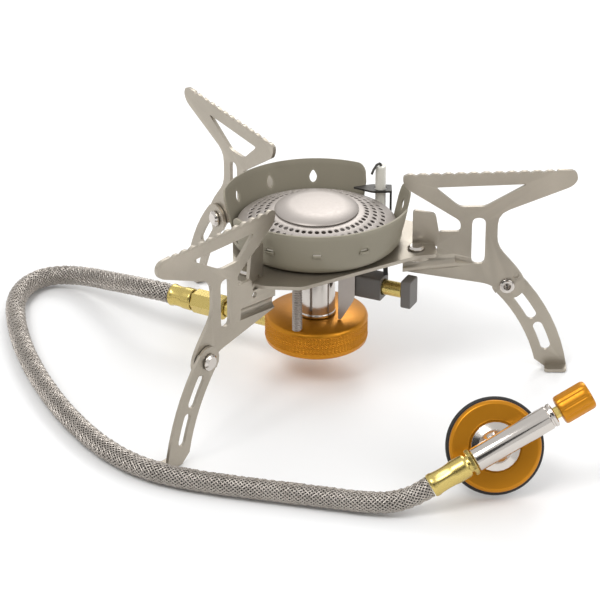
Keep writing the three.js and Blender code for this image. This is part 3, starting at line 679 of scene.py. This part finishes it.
# %% Jet housing with its diamond knurl
housing_low, housing_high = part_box("jet_housing")
housing_radius = (housing_high[0] - housing_low[0]) / 2
housing_height = housing_high[2] - housing_low[2]
KNURL_ROWS = 28
KNURL_COUNT = 86
KNURL_DEPTH = 0.42 * MM
KNURL_CLIMB = 9.0
STEPS_PER_KNURL = 6
knurl_low = 2.2 * MM
knurl_high = housing_height - 1.6 * MM
housing_profile = [(0.5 * MM, 0.0), (housing_radius - 1.2 * MM, 0.0), (housing_radius - 0.3 * MM, 0.7 * MM)]
first_knurl = len(housing_profile)
for row in range(KNURL_ROWS + 1):
    rise = knurl_low + (knurl_high - knurl_low) * row / KNURL_ROWS
    housing_profile.append((housing_radius, rise))
housing_profile += [
    (housing_radius - 0.3 * MM, housing_height - 0.7 * MM),
    (housing_radius - 1.2 * MM, housing_height),
    (7.6 * MM, housing_height),
    (7.4 * MM, housing_height - 0.3 * MM),
    (0.5 * MM, housing_height - 0.3 * MM),
]


def knurl(angle, row):
    step = row - first_knurl
    if not 0 < step < KNURL_ROWS:
        return 0.0
    rise = step / KNURL_ROWS * KNURL_CLIMB
    one = abs(((angle * KNURL_COUNT / (2 * math.pi) + rise) % 1.0) - 0.5) * 2
    other = abs(((angle * KNURL_COUNT / (2 * math.pi) - rise) % 1.0) - 0.5) * 2
    return -KNURL_DEPTH * max(one, other) ** 2


housing_steps = KNURL_COUNT * STEPS_PER_KNURL
housing_place = at_axis(housing_low[2])
add_turned(
    "jet_housing_knurled",
    "jet_housing",
    orange_anodised,
    housing_profile,
    housing_place,
    housing_steps,
    38,
    knurl,
)

# %% [markdown]
# The cap is a pressed lid that closes the middle of the burner. Its edge turns down a little before it meets
# the cone, and that lip is what draws the dark ring round it.

# %% Cap of the burner
CAP_RISE = 2.6 * MM
CAP_MIDDLE = 0.2 * MM
cap_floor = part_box("burner_cap")[0][2]
cap_edge = [(0.2, 0), (14.4, 0), (15.8, -0.25), (16.2, 0.1)]
cap_spots = cap_edge + [(15.3, 0.9), (13.2, 1.7), (10.8, 2.25), (6.0, 2.5)]
cap_points = [(r * MM, z * MM) for r, z in cap_spots] + [(CAP_MIDDLE, CAP_RISE)]
cap_profile = rounded_profile(cap_points, 1.2 * MM)
add_turned("burner_cap_pressed", "burner_cap", head_steel, cap_profile, at_axis(cap_floor), 96, 50)

# %% [markdown]
# The burner head is a shallow cone of thin steel with three rows of ports. A neat way to pierce a sheet is
# to build it from cells. Each cell has eight points round its edge and eight round its port, and the next
# row is turned by half a cell, so that the edge points of both rows meet. Solidify gives it thickness.

# %% Perforated head
head_low, head_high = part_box("burner_head")
head_radius = (head_high[0] - head_low[0]) / 2
PORTS = 48
PORT_RADIUS = 0.84 * MM
inner_radius = 13.2 * MM
shoulder_radius = 16.4 * MM
cone_rim_height = head_low[2] + 4.5 * MM
port_rows = (19.2 * MM, 22.3 * MM, 25.4 * MM)
PORT_LIP = 1.22
PORT_DROP = 0.12 * MM
CONE_CURVE = 1.25
HEAD_THICKNESS = 0.5 * MM


def cone_height(radius):
    share = min(1.0, (head_radius - radius) / (head_radius - shoulder_radius))
    return cone_rim_height + (head_high[2] - cone_rim_height) * (1 - (1 - share) ** CONE_CURVE)


def on_cone(radius, angle, drop=0.0):
    return around_burner(radius, angle, cone_height(radius) - drop)


def ported_ring(vertices, faces, low, high, middle, turn):
    # One row of cells between two radii, with the ports at the middle radius, turned by a share of a cell.
    step = 2 * math.pi / PORTS
    for k in range(PORTS):
        centre = (k + turn) * step
        spots = [(-1, low), (0, low), (1, low), (1, middle), (1, high), (0, high), (-1, high), (-1, middle)]
        start = len(vertices)
        for across, radius in spots:
            vertices.append(on_cone(radius, centre + across * step / 2))
        for ring_radius, drop in ((PORT_RADIUS * PORT_LIP, 0.0), (PORT_RADIUS, PORT_DROP)):
            for corner in range(8):
                bearing = math.radians(-135 + 45 * corner)
                radius = middle + math.sin(bearing) * ring_radius
                vertices.append(on_cone(radius, centre + math.cos(bearing) * ring_radius / middle, drop))
        for inner in (start, start + 8):
            outer = inner + 8
            for corner in range(8):
                following = (corner + 1) % 8
                faces.append([inner + corner, inner + following, outer + following, outer + corner])


def plain_ring(vertices, faces, spots, count):
    # spots: (radius, height), and a height of None means on the cone.
    start = len(vertices)
    for radius, height in spots:
        for k in range(count):
            angle = 2 * math.pi * k / count
            z = cone_height(radius) if height is None else height
            vertices.append(around_burner(radius, angle, z))
    for row in range(len(spots) - 1):
        for k in range(count):
            a = start + row * count + k
            b = start + row * count + (k + 1) % count
            faces.append([a, b, b + count, a + count])


head_vertices = []
head_faces = []
between_rows = [(a + b) / 2 for a, b in zip(port_rows, port_rows[1:])]
edges = [port_rows[0] - 1.5 * MM] + between_rows + [27.0 * MM]
for row, middle in enumerate(port_rows):
    ported_ring(head_vertices, head_faces, edges[row], edges[row + 1], middle, (row % 2) / 2)
plain_ring(
    head_vertices,
    head_faces,
    [(inner_radius, None), (15.4 * MM, None), (edges[0], None)],
    PORTS * 2,
)
plain_ring(
    head_vertices,
    head_faces,
    [
        (edges[-1], None),
        (28.6 * MM, None),
        (29.8 * MM, None),
        (head_radius - 0.2 * MM, cone_rim_height - 0.1 * MM),
        (head_radius, cone_rim_height - 0.7 * MM),
        (head_radius, head_low[2]),
    ],
    PORTS * 2,
)
head_mesh = mesh_from("burner_head_pierced", head_vertices, head_faces)
head_piece = add_piece("burner_head_pierced", head_mesh, "burner_head", head_steel)
thickness = head_piece.modifiers.new("thickness", "SOLIDIFY")
thickness.thickness = HEAD_THICKNESS
thickness.offset = -1
rounding = head_piece.modifiers.new("round", "SUBSURF")
rounding.levels = 1
rounding.render_levels = 1
head_mesh.polygons.foreach_set("use_smooth", [True] * len(head_mesh.polygons))
print("ports", PORTS * len(port_rows))

# %% [markdown]
# The windscreen is one pressed dish with three raised petals, and the gaps between them clear the arms and
# the electrode. A formula gives the height of the wall at each angle, so the wall is one smooth sheet whose
# petal corners are round. The draught holes are cut afterwards with a Boolean modifier.

# %% Windscreen
screen_low, screen_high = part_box("windscreen")
SCREEN_FLOOR_RADIUS = 31.6 * MM
SCREEN_TOP_RADIUS = 36.1 * MM
screen_floor = screen_low[2]
full_rise = screen_high[2] - screen_low[2]
low_rise = 2.8 * MM
SQUARE_END = 342.0
petal_spans = ((3.5, 23.0), (56.0, 175.0), (207.0, SQUARE_END))
WIDE_PETAL = 40
WIDE_CORNER, NARROW_CORNER, SQUARE_CORNER = 7.0, 4.0, 1.0
CORNER_DROP = 0.34
WALL_STEPS = 360
WALL_ROWS = 14
WALL_FOOT = 1.0 * MM
WALL_CURVE = 0.85
WALL_THICKNESS = 0.7 * MM
SHEET_LIFT = 0.5 * MM
SHEET_INSET = 0.3 * MM


def petal_rise(degrees_round):
    # The wall's height at this angle: full on a petal, low in a gap, with a round corner between.
    for start, end in petal_spans:
        if start <= degrees_round <= end:
            inside = min(degrees_round - start, end - degrees_round)
            corner = WIDE_CORNER if end - start > WIDE_PETAL else NARROW_CORNER
            if end == SQUARE_END and end - degrees_round < corner:
                corner = SQUARE_CORNER
            if inside >= corner:
                return full_rise
            share = 1 - inside / corner
            return full_rise - (1 - math.sqrt(max(0.0, 1 - share * share))) * CORNER_DROP * full_rise
    return low_rise


def wall_radius(height, foot):
    # The wall leans out as it rises, quickly at first.
    return foot + (SCREEN_TOP_RADIUS - SCREEN_FLOOR_RADIUS) * (height / full_rise) ** WALL_CURVE


def wall_angles():
    # Even steps, with each petal's end moved on to a step of its own so that it is a sharp edge.
    angles = [360.0 * k / WALL_STEPS for k in range(WALL_STEPS)]
    for start, end in petal_spans:
        for edge, outside in ((start, start - 0.05), (end, end + 0.05)):
            angles = [angle for angle in angles if abs(angle - edge) > 0.4]
            angles += [edge, outside]
    return sorted(angle % 360 for angle in angles)


angles = wall_angles()
screen_vertices = []
screen_faces = []
floor_rings = [(8.2 * MM, 0.0), (20 * MM, 0.0), (28.6 * MM, 0.0)]
floor_rings += [(30.4 * MM, 0.25 * MM), (31.3 * MM, WALL_FOOT)]
for angle in angles:
    turn = math.radians(angle)
    rise = petal_rise(angle)
    column = list(floor_rings)
    for row in range(1, WALL_ROWS + 1):
        height = WALL_FOOT + (rise - WALL_FOOT) * row / WALL_ROWS
        column.append((wall_radius(height, SCREEN_FLOOR_RADIUS - SHEET_INSET), height))
    for radius, height in column:
        screen_vertices.append(around_burner(radius, turn, screen_floor + height + SHEET_LIFT))
column_size = len(floor_rings) + WALL_ROWS
for k in range(len(angles)):
    following = (k + 1) % len(angles)
    for row in range(column_size - 1):
        a = k * column_size + row
        b = following * column_size + row
        screen_faces.append([a, b, b + 1, a + 1])
screen_mesh = bpy.data.meshes.new("windscreen_pressed")
screen_mesh.from_pydata([tuple(vertex) for vertex in screen_vertices], [], screen_faces)
screen_mesh.update()
screen_piece = add_piece("windscreen_pressed", screen_mesh, "windscreen", screen_coat)
wall = screen_piece.modifiers.new("thickness", "SOLIDIFY")
wall.thickness = WALL_THICKNESS
wall.offset = 0


def prism_mesh(name, outline, bearing, low, high, height):
    # A bar with this outline that points out from the burner's axis at the bearing.
    out = Vector((math.cos(bearing), math.sin(bearing), 0))
    side = Vector((-out.y, out.x, 0))
    vertices = []
    for radius in (low, high):
        for across, rise in outline:
            vertices.append(
                Vector((burner_axis.x, burner_axis.y, height + rise)) + out * radius + side * across
            )
    count = len(outline)
    faces = [list(range(count)), [count + k for k in reversed(range(count))]]
    faces += [[k, (k + 1) % count, count + (k + 1) % count, count + k] for k in range(count)]
    return mesh_from(name, vertices, faces)


def teardrop(width, rise, steps=24):
    # Round below and narrow above.
    points = []
    for k in range(steps):
        angle = 2 * math.pi * k / steps
        narrow = 1.0 - 0.42 * max(0.0, math.sin(angle)) ** 1.2
        points.append((width / 2 * math.cos(angle) * narrow, rise / 2 * math.sin(angle)))
    return points


def cut_with(piece, cutter_mesh):
    cutter = bpy.data.objects.new("cutter", cutter_mesh)
    bpy.context.scene.collection.objects.link(cutter)
    cut = piece.modifiers.new("cut", "BOOLEAN")
    cut.object = cutter
    cut.solver = "EXACT"
    apply_modifiers(piece)
    bpy.data.objects.remove(cutter)


# %% [markdown]
# Air comes in through teardrop holes in the back and right petals, and slots in the front one. Each cutter
# is a bar that crosses the wall, and it is taken away as soon as its cut is applied.

# %% Draught holes and louvre slots
CUT_FROM, CUT_TO = 26 * MM, 44 * MM
DRAUGHT_BEARINGS = (92, 122, 153, 14)
LOUVRE_BEARINGS = {"left": -121, "middle": -90, "right": -59}
draught_height = screen_floor + 10.9 * MM
slot_height = screen_floor + 9.4 * MM
draught_outline = teardrop(2.9 * MM, 4.9 * MM)
slot_outline = [(1.5 * MM * sx, 0.35 * MM * sz) for sx, sz in ((-1, -1), (1, -1), (1, 1), (-1, 1))]
cuts = [("draught_hole", draught_outline, bearing, draught_height) for bearing in DRAUGHT_BEARINGS]
cuts += [("louvre_slot", slot_outline, bearing, slot_height) for bearing in LOUVRE_BEARINGS.values()]
for name, outline, bearing, height in cuts:
    cut_with(screen_piece, prism_mesh(name, outline, math.radians(bearing), CUT_FROM, CUT_TO, height))
smooth(screen_piece.data, 40)
lips = screen_piece.modifiers.new("edge_round", "BEVEL")
lips.width = 0.14 * MM
lips.segments = 2
lips.limit_method = "ANGLE"
lips.angle_limit = math.radians(45)
lips.harden_normals = True
print("windscreen", len(screen_piece.data.polygons), "faces")


# %% Louvre lips, pressed out under each slot
LIP_LOW = 7.6
LIP_RISE = 1.5
LIP_HALF_WIDTH = 1.9 * MM
LIP_BULGE = 0.75 * MM
LIP_CLEARANCE = 0.15 * MM


def louvre_mesh(bearing, across_steps=10, up_steps=4):
    vertices = []
    faces = []
    for i in range(across_steps + 1):
        along = i / across_steps * 2 - 1
        for j in range(up_steps + 1):
            rise = screen_floor + (LIP_LOW + LIP_RISE * j / up_steps) * MM
            wall_reach = wall_radius(rise - screen_floor, SCREEN_FLOOR_RADIUS)
            bulge = LIP_BULGE * (1 - along**4) * (j / up_steps) ** 1.4
            turn = bearing + along * LIP_HALF_WIDTH / wall_reach
            vertices.append(around_burner(wall_reach + LIP_CLEARANCE + bulge, turn, rise))
    for i in range(across_steps):
        for j in range(up_steps):
            a = i * (up_steps + 1) + j
            faces.append([a, a + up_steps + 1, a + up_steps + 2, a + 1])
    return mesh_from("louvre_lip", vertices, faces)


for name, bearing in LOUVRE_BEARINGS.items():
    lip_mesh = louvre_mesh(math.radians(bearing))
    smooth(lip_mesh, 60)
    lip = add_piece(f"louvre_lip_{name}", lip_mesh, "windscreen", screen_coat, replaced=False)
    lip_wall = lip.modifiers.new("thickness", "SOLIDIFY")
    lip_wall.thickness = 0.4 * MM
    lip_wall.offset = -1

# %% [markdown]
# The stud that helps to carry the jet housing is threaded rod. A thread is a ridge that climbs as it goes
# round, so its mesh is a turned tube whose radius follows the angle as well as the height.

# %% Threaded stud
stud_low, stud_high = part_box("support_stud")
stud_middle = ((stud_low[0] + stud_high[0]) / 2, (stud_low[1] + stud_high[1]) / 2)
stud_place = Matrix.Translation((*stud_middle, stud_low[2]))
STUD_RADIUS = 2.0 * MM
THREAD_PITCH = 1.0 * MM
THREAD_DEPTH = 0.5 * MM
ROWS_PER_TURN = 8
stud_length = stud_high[2] - stud_low[2]
stud_rows = int(stud_length / THREAD_PITCH * ROWS_PER_TURN)
stud_profile = [(STUD_RADIUS, stud_length * row / stud_rows) for row in range(stud_rows + 1)]


def thread(angle, row):
    phase = (row / ROWS_PER_TURN + angle / (2 * math.pi)) % 1.0
    return -THREAD_DEPTH * (1 - abs(phase - 0.5) * 2)


add_turned("support_stud_threaded", "support_stud", head_steel, stud_profile, stud_place, 28, 30, thread)

# %% [markdown]
# Gas and air mix in a bright tube between the jet and the head. Its foot is rolled outwards, so the wall
# steps in just above it. The profile runs up the outside and back down the bore.

# %% Mixing tube and its rolled foot
tube_low, tube_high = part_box("mixing_tube")
tube_radius = (tube_high[0] - tube_low[0]) / 2
tube_length = tube_high[2] - tube_low[2]
tube_profile = ring_profile(
    [
        (tube_radius - 0.7 * MM, 0),
        (tube_radius, 0),
        (tube_radius, 1.1 * MM),
        (tube_radius - 0.25 * MM, 1.4 * MM),
        (tube_radius - 0.25 * MM, tube_length),
        (tube_radius - 0.8 * MM, tube_length),
    ],
    0.3 * MM,
)
tube_place = at_axis(tube_low[2])
add_turned("mixing_tube_polished", "mixing_tube", turned_steel, tube_profile, tube_place, 80, 40)

# %% [markdown]
# The spark jumps from a wire that sticks out of a glazed ceramic sleeve. The sleeve is turned like the rest,
# and the wire is a curve with a round bevel, bent left and down towards the burner's rim.

# %% Ceramic insulator and its spark wire
CERAMIC_BORE = 0.55 * MM
WIRE_RADIUS = 0.5 * MM
ceramic_low, ceramic_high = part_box("electrode_ceramic")
ceramic_spot = centre_of("electrode_ceramic")
ceramic_length = ceramic_high[2] - ceramic_low[2]
ceramic_profile = ring_profile(
    [
        (CERAMIC_BORE, 0),
        (2.1 * MM, 0),
        (2.1 * MM, 1 * MM),
        (2.05 * MM, ceramic_length),
        (CERAMIC_BORE, ceramic_length),
    ],
    0.5 * MM,
)
ceramic_place = Matrix.Translation((ceramic_spot.x, ceramic_spot.y, ceramic_low[2]))
add_turned(
    "electrode_ceramic_glazed", "electrode_ceramic", white_ceramic, ceramic_profile, ceramic_place, 40, 50
)
wire_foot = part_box("electrode_wire")[0][2]
hook_spots = [
    (0, 0, 0),
    (0, 0, 0.5),
    (-0.5, -0.5, 1.1),
    (-1.6, -1.4, 0.9),
    (-2.8, -2.4, -0.6),
    (-3.6, -3.1, -2.4),
]
ceramic_top = Vector((ceramic_spot.x, ceramic_spot.y, ceramic_high[2]))
wire_line = [Vector((ceramic_spot.x, ceramic_spot.y, wire_foot))]
wire_line += [ceramic_top + Vector(spot) * MM for spot in hook_spots]
hook_curve = route_curve("electrode_wire_hooked", wire_line)
hook_curve.bevel_depth = WIRE_RADIUS
hook_curve.bevel_resolution = 3
hook_curve.use_fill_caps = True
hook = bpy.data.objects.new("hook", hook_curve)
bpy.context.scene.collection.objects.link(hook)
bent = bpy.data.meshes.new_from_object(hook.evaluated_get(bpy.context.evaluated_depsgraph_get()))
bpy.data.objects.remove(hook)
wire_mesh = mesh_from(
    "electrode_wire_hooked", [v.co for v in bent.vertices], [list(face.vertices) for face in bent.polygons]
)
smooth(wire_mesh, 60)
add_piece("electrode_wire_hooked", wire_mesh, "electrode_wire", blued_steel)

# %% [markdown]
# The valve is a group with its own directions: along its body, and out through its disc. Each of its turned
# parts is placed with a matrix that has these directions as its columns.

# %% Valve directions
disc_way = Vector((0, -0.893, 0.45)).normalized()
cross_way = disc_way.cross(VALVE_WAY).normalized()
disc_way = VALVE_WAY.cross(cross_way)


def along_valve(distance=0.0):
    columns = Matrix((cross_way, disc_way, VALVE_WAY)).transposed().to_4x4()
    return Matrix.Translation(VALVE_AT + VALVE_WAY * distance) @ columns


def through_disc(distance=0.0):
    columns = Matrix((VALVE_WAY, cross_way, disc_way)).transposed().to_4x4()
    return Matrix.Translation(VALVE_AT + disc_way * distance) @ columns


# %% [markdown]
# The orange disc and the rubber pad under it are what seats on the canister. Both are rings about a bore, so
# their profiles end where they began.

# %% Adaptor disc and rubber pad
DISC_BACK = -10.8 * MM
DISC_THICK = 3.5 * MM
DISC_RADIUS = 16.6 * MM
PAD_BACK = -13.6 * MM
PAD_THICK = 2.5 * MM
PAD_RADIUS = 17.8 * MM
SLEEVE_BORE = 7.3 * MM
disc_profile = ring_profile(
    [
        (SLEEVE_BORE, 0),
        (16.1 * MM, 0),
        (DISC_RADIUS, 0.6 * MM),
        (DISC_RADIUS, DISC_THICK - 1.0 * MM),
        (15.5 * MM, DISC_THICK),
        (9.6 * MM, DISC_THICK),
        (9.2 * MM, DISC_THICK - 0.3 * MM),
        (SLEEVE_BORE, DISC_THICK - 0.3 * MM),
    ],
    0.35 * MM,
)
disc_place = through_disc(DISC_BACK)
add_turned("adaptor_disc_turned", "adaptor_disc", orange_anodised, disc_profile, disc_place, 128, 36)
pad_profile = ring_profile(
    [
        (SLEEVE_BORE, 0),
        (17.2 * MM, 0),
        (PAD_RADIUS, 0.6 * MM),
        (PAD_RADIUS, 1.9 * MM),
        (17.2 * MM, PAD_THICK),
        (SLEEVE_BORE, PAD_THICK),
    ],
    0.5 * MM,
)
pad_place = through_disc(PAD_BACK)
add_turned("rubber_pad_moulded", "rubber_pad", black_rubber, pad_profile, pad_place, 128, 36)

# %% Valve body
rounded_copy("valve_body", turned_steel, 0.3 * MM, 38, 3)

# %% [markdown]
# The knob is turned first and fluted afterwards, so its grooves are shallow and stop before both ends. The
# rows in the middle of the profile take the full depth, and the rows beside them take half.

# %% Knob with its flutes
KNOB_START = 25.6 * MM
KNOB_LENGTH = 12.6 * MM
KNOB_RADIUS = 5.4 * MM
FLUTES = 10
KNOB_STEPS = FLUTES * 20
FLUTE_DEPTH = 0.3 * MM
FLUTE_HALF_WIDTH = 0.2
flute_strength = {5: 0.5, 6: 1.0, 7: 1.0, 8: 0.5}
knob_profile = [
    (2.6 * MM, 3.6 * MM),
    (2.6 * MM, 0.2 * MM),
    (3.4 * MM, 0.0),
    (4.5 * MM, 0.0),
    (5.1 * MM, 0.25 * MM),
    (KNOB_RADIUS, 0.9 * MM),
    (KNOB_RADIUS, 2.2 * MM),
    (KNOB_RADIUS, 10.2 * MM),
    (KNOB_RADIUS, KNOB_LENGTH - 1.2 * MM),
    (5.0 * MM, KNOB_LENGTH - 0.3 * MM),
    (4.3 * MM, KNOB_LENGTH),
    (0.3 * MM, KNOB_LENGTH),
]


def flute(angle, row):
    wave = (angle * FLUTES / (2 * math.pi)) % 1.0
    groove = max(0.0, 1 - abs(wave - 0.5) / FLUTE_HALF_WIDTH)
    return -FLUTE_DEPTH * flute_strength.get(row, 0.0) * groove**0.7


knob_place = along_valve(KNOB_START)
add_turned(
    "valve_knob_fluted", "valve_knob", orange_anodised, knob_profile, knob_place, KNOB_STEPS, 40, flute
)

# %% [markdown]
# A union nut joins the hose to the valve. It has six flats for a spanner, and a hexagon is a circle whose
# radius is pulled in between its corners, so it is turned with a push as well.

# %% Union nut: a short neck and a thin hexagon
UNION_START = -12.6 * MM
UNION_RADIUS = 5.0 * MM
union_profile = [(0.3, 0), (3.3, 0), (3.3, 1.4), (4.6, 1.4), (5.0, 1.7), (5.0, 2.8), (4.6, 3.1), (0.3, 3.1)]


def hexagon(angle, row):
    if row not in (4, 5):
        return 0.0
    corner = math.radians(30)
    return UNION_RADIUS * (math.cos(corner) / math.cos(angle % (2 * corner) - corner) - 1)


union_points = [(r * MM, z * MM) for r, z in union_profile]
union_place = along_valve(UNION_START)
add_turned(
    "hose_union_nut_turned", "hose_union_nut", turned_brass, union_points, union_place, 72, 24, hexagon
)

# %% [markdown]
# A brass ferrule is squeezed over each end of the braid. The crimping jaws leave flats and a waist, so the
# radius follows both the place along the ferrule and the angle round it.

# %% Crimped ferrules
FERRULE_RADIUS = 4.4 * MM
FERRULE_BORE = 3.6 * MM
FERRULE_CHAMFER = 0.35 * MM
CRIMP_START = 0.12
CRIMP_SPAN = 0.5
CRIMP_END = 0.62
CRIMP_DEPTH = 0.42 * MM
VALVE_FERRULE_START = -27.3 * MM
STOVE_FERRULE_REACH = 43.5


def add_ferrule(name, node, place, length, jaws=6, rows=26):
    profile = [(FERRULE_BORE, 0.0)]
    for row in range(rows + 1):
        share = row / rows
        chamfer = FERRULE_CHAMFER if row in (0, rows) else 0.0
        profile.append((FERRULE_RADIUS - chamfer, length * share))
    profile.append((FERRULE_BORE, length))

    def squeeze(angle, row):
        share = (row - 1) / rows
        if not CRIMP_START < share < CRIMP_END:
            return 0.0
        depth = math.sin((share - CRIMP_START) / CRIMP_SPAN * math.pi) ** 0.5
        flat = abs(math.cos(jaws * angle / 2))
        return -CRIMP_DEPTH * depth * (0.35 + 0.65 * flat**2)

    add_turned(name, node, turned_brass, profile, place, 72, 45, squeeze)


add_ferrule("ferrule_valve_crimped", "hose_ferrule_valve", along_valve(VALVE_FERRULE_START), 15.2 * MM)
stove_side = Vector((-inlet_way.y, inlet_way.x, 0))
stove_columns = Matrix((stove_side, Vector((0, 0, 1)), -inlet_way)).transposed().to_4x4()
ferrule_at = cad_shift + inlet_rim + inlet_way * STOVE_FERRULE_REACH * MM + Vector((0, 0, inlet_height))
stove_place = Matrix.Translation(ferrule_at) @ stove_columns
add_ferrule("ferrule_stove_crimped", "hose_ferrule_stove", stove_place, 10.1 * MM)

# %% [markdown]
# The hose is a cord of fixed length with the whole valve on its far end. This block only brings the scene
# up to date.

# %% Bring the scene up to date
bpy.context.view_layer.update()

# %% [markdown]
# A pale floor, a soft sky and three large lamps make a product studio. Polished metal shows what stands
# round it, so three dark cards, which the camera itself can't see, give the chrome its dark bands.

# %% Studio
FLOOR_HEIGHT = -0.4 * MM


def stage_plane(name, size, place, turn, color, rough=0.9):
    mesh = bpy.data.meshes.new(name)
    half = size / 2
    corners = [(-half, -half, 0), (half, -half, 0), (half, half, 0), (-half, half, 0)]
    mesh.from_pydata(corners, [], [(0, 1, 2, 3)])
    plane = bpy.data.objects.new(name, mesh)
    plane.location = place
    plane.rotation_euler = turn
    material = bpy.data.materials.new(name)
    material.use_nodes = True
    shader = material.node_tree.nodes["Principled BSDF"]
    shader.inputs["Base Color"].default_value = (*color, 1)
    shader.inputs["Roughness"].default_value = rough
    mesh.materials.append(material)
    bpy.context.scene.collection.objects.link(plane)
    return plane


def reflected_card(name, size, place, grey):
    # A dark card that faces the stove and is seen only in its reflections.
    turn = (look_at - Vector(place)).to_track_quat("Z", "Y").to_euler()
    stage_plane(name, size, place, turn, (grey, grey, grey)).visible_camera = False


stage_plane("studio_floor", 8.0, (0, 0, FLOOR_HEIGHT), (0, 0, 0), (0.92, 0.92, 0.92))
reflected_card("dark_card_left", 0.5, (-0.55, -0.75, 0.35), 0.03)
reflected_card("dark_card_right", 0.4, (0.75, -0.35, 0.25), 0.04)
reflected_card("dark_card_behind", 0.7, tuple(look_at - view_way * 1.5), 0.04)


def add_lamp(name, place, size, power):
    lamp_data = bpy.data.lights.new(name, "AREA")
    lamp_data.shape = "DISK"
    lamp_data.size = size
    lamp_data.energy = power
    lamp = bpy.data.objects.new(name, lamp_data)
    lamp.location = place
    lamp.rotation_euler = (look_at - Vector(place)).to_track_quat("-Z", "Y").to_euler()
    bpy.context.scene.collection.objects.link(lamp)


add_lamp("key_lamp", (-0.5, -0.6, 1.1), 0.6, 6.5)
add_lamp("fill_lamp", (0.9, -0.5, 0.8), 0.7, 3.2)
add_lamp("back_lamp", (0.1, 1.0, 0.9), 0.6, 4.5)
world = bpy.data.worlds.new("studio_sky")
world.use_nodes = True
sky = world.node_tree.nodes["Background"]
sky.inputs["Color"].default_value = (1.0, 1.0, 1.0, 1)
sky.inputs["Strength"].default_value = 0.8
bpy.context.scene.world = world
bpy.context.scene.view_settings.view_transform = "Standard"
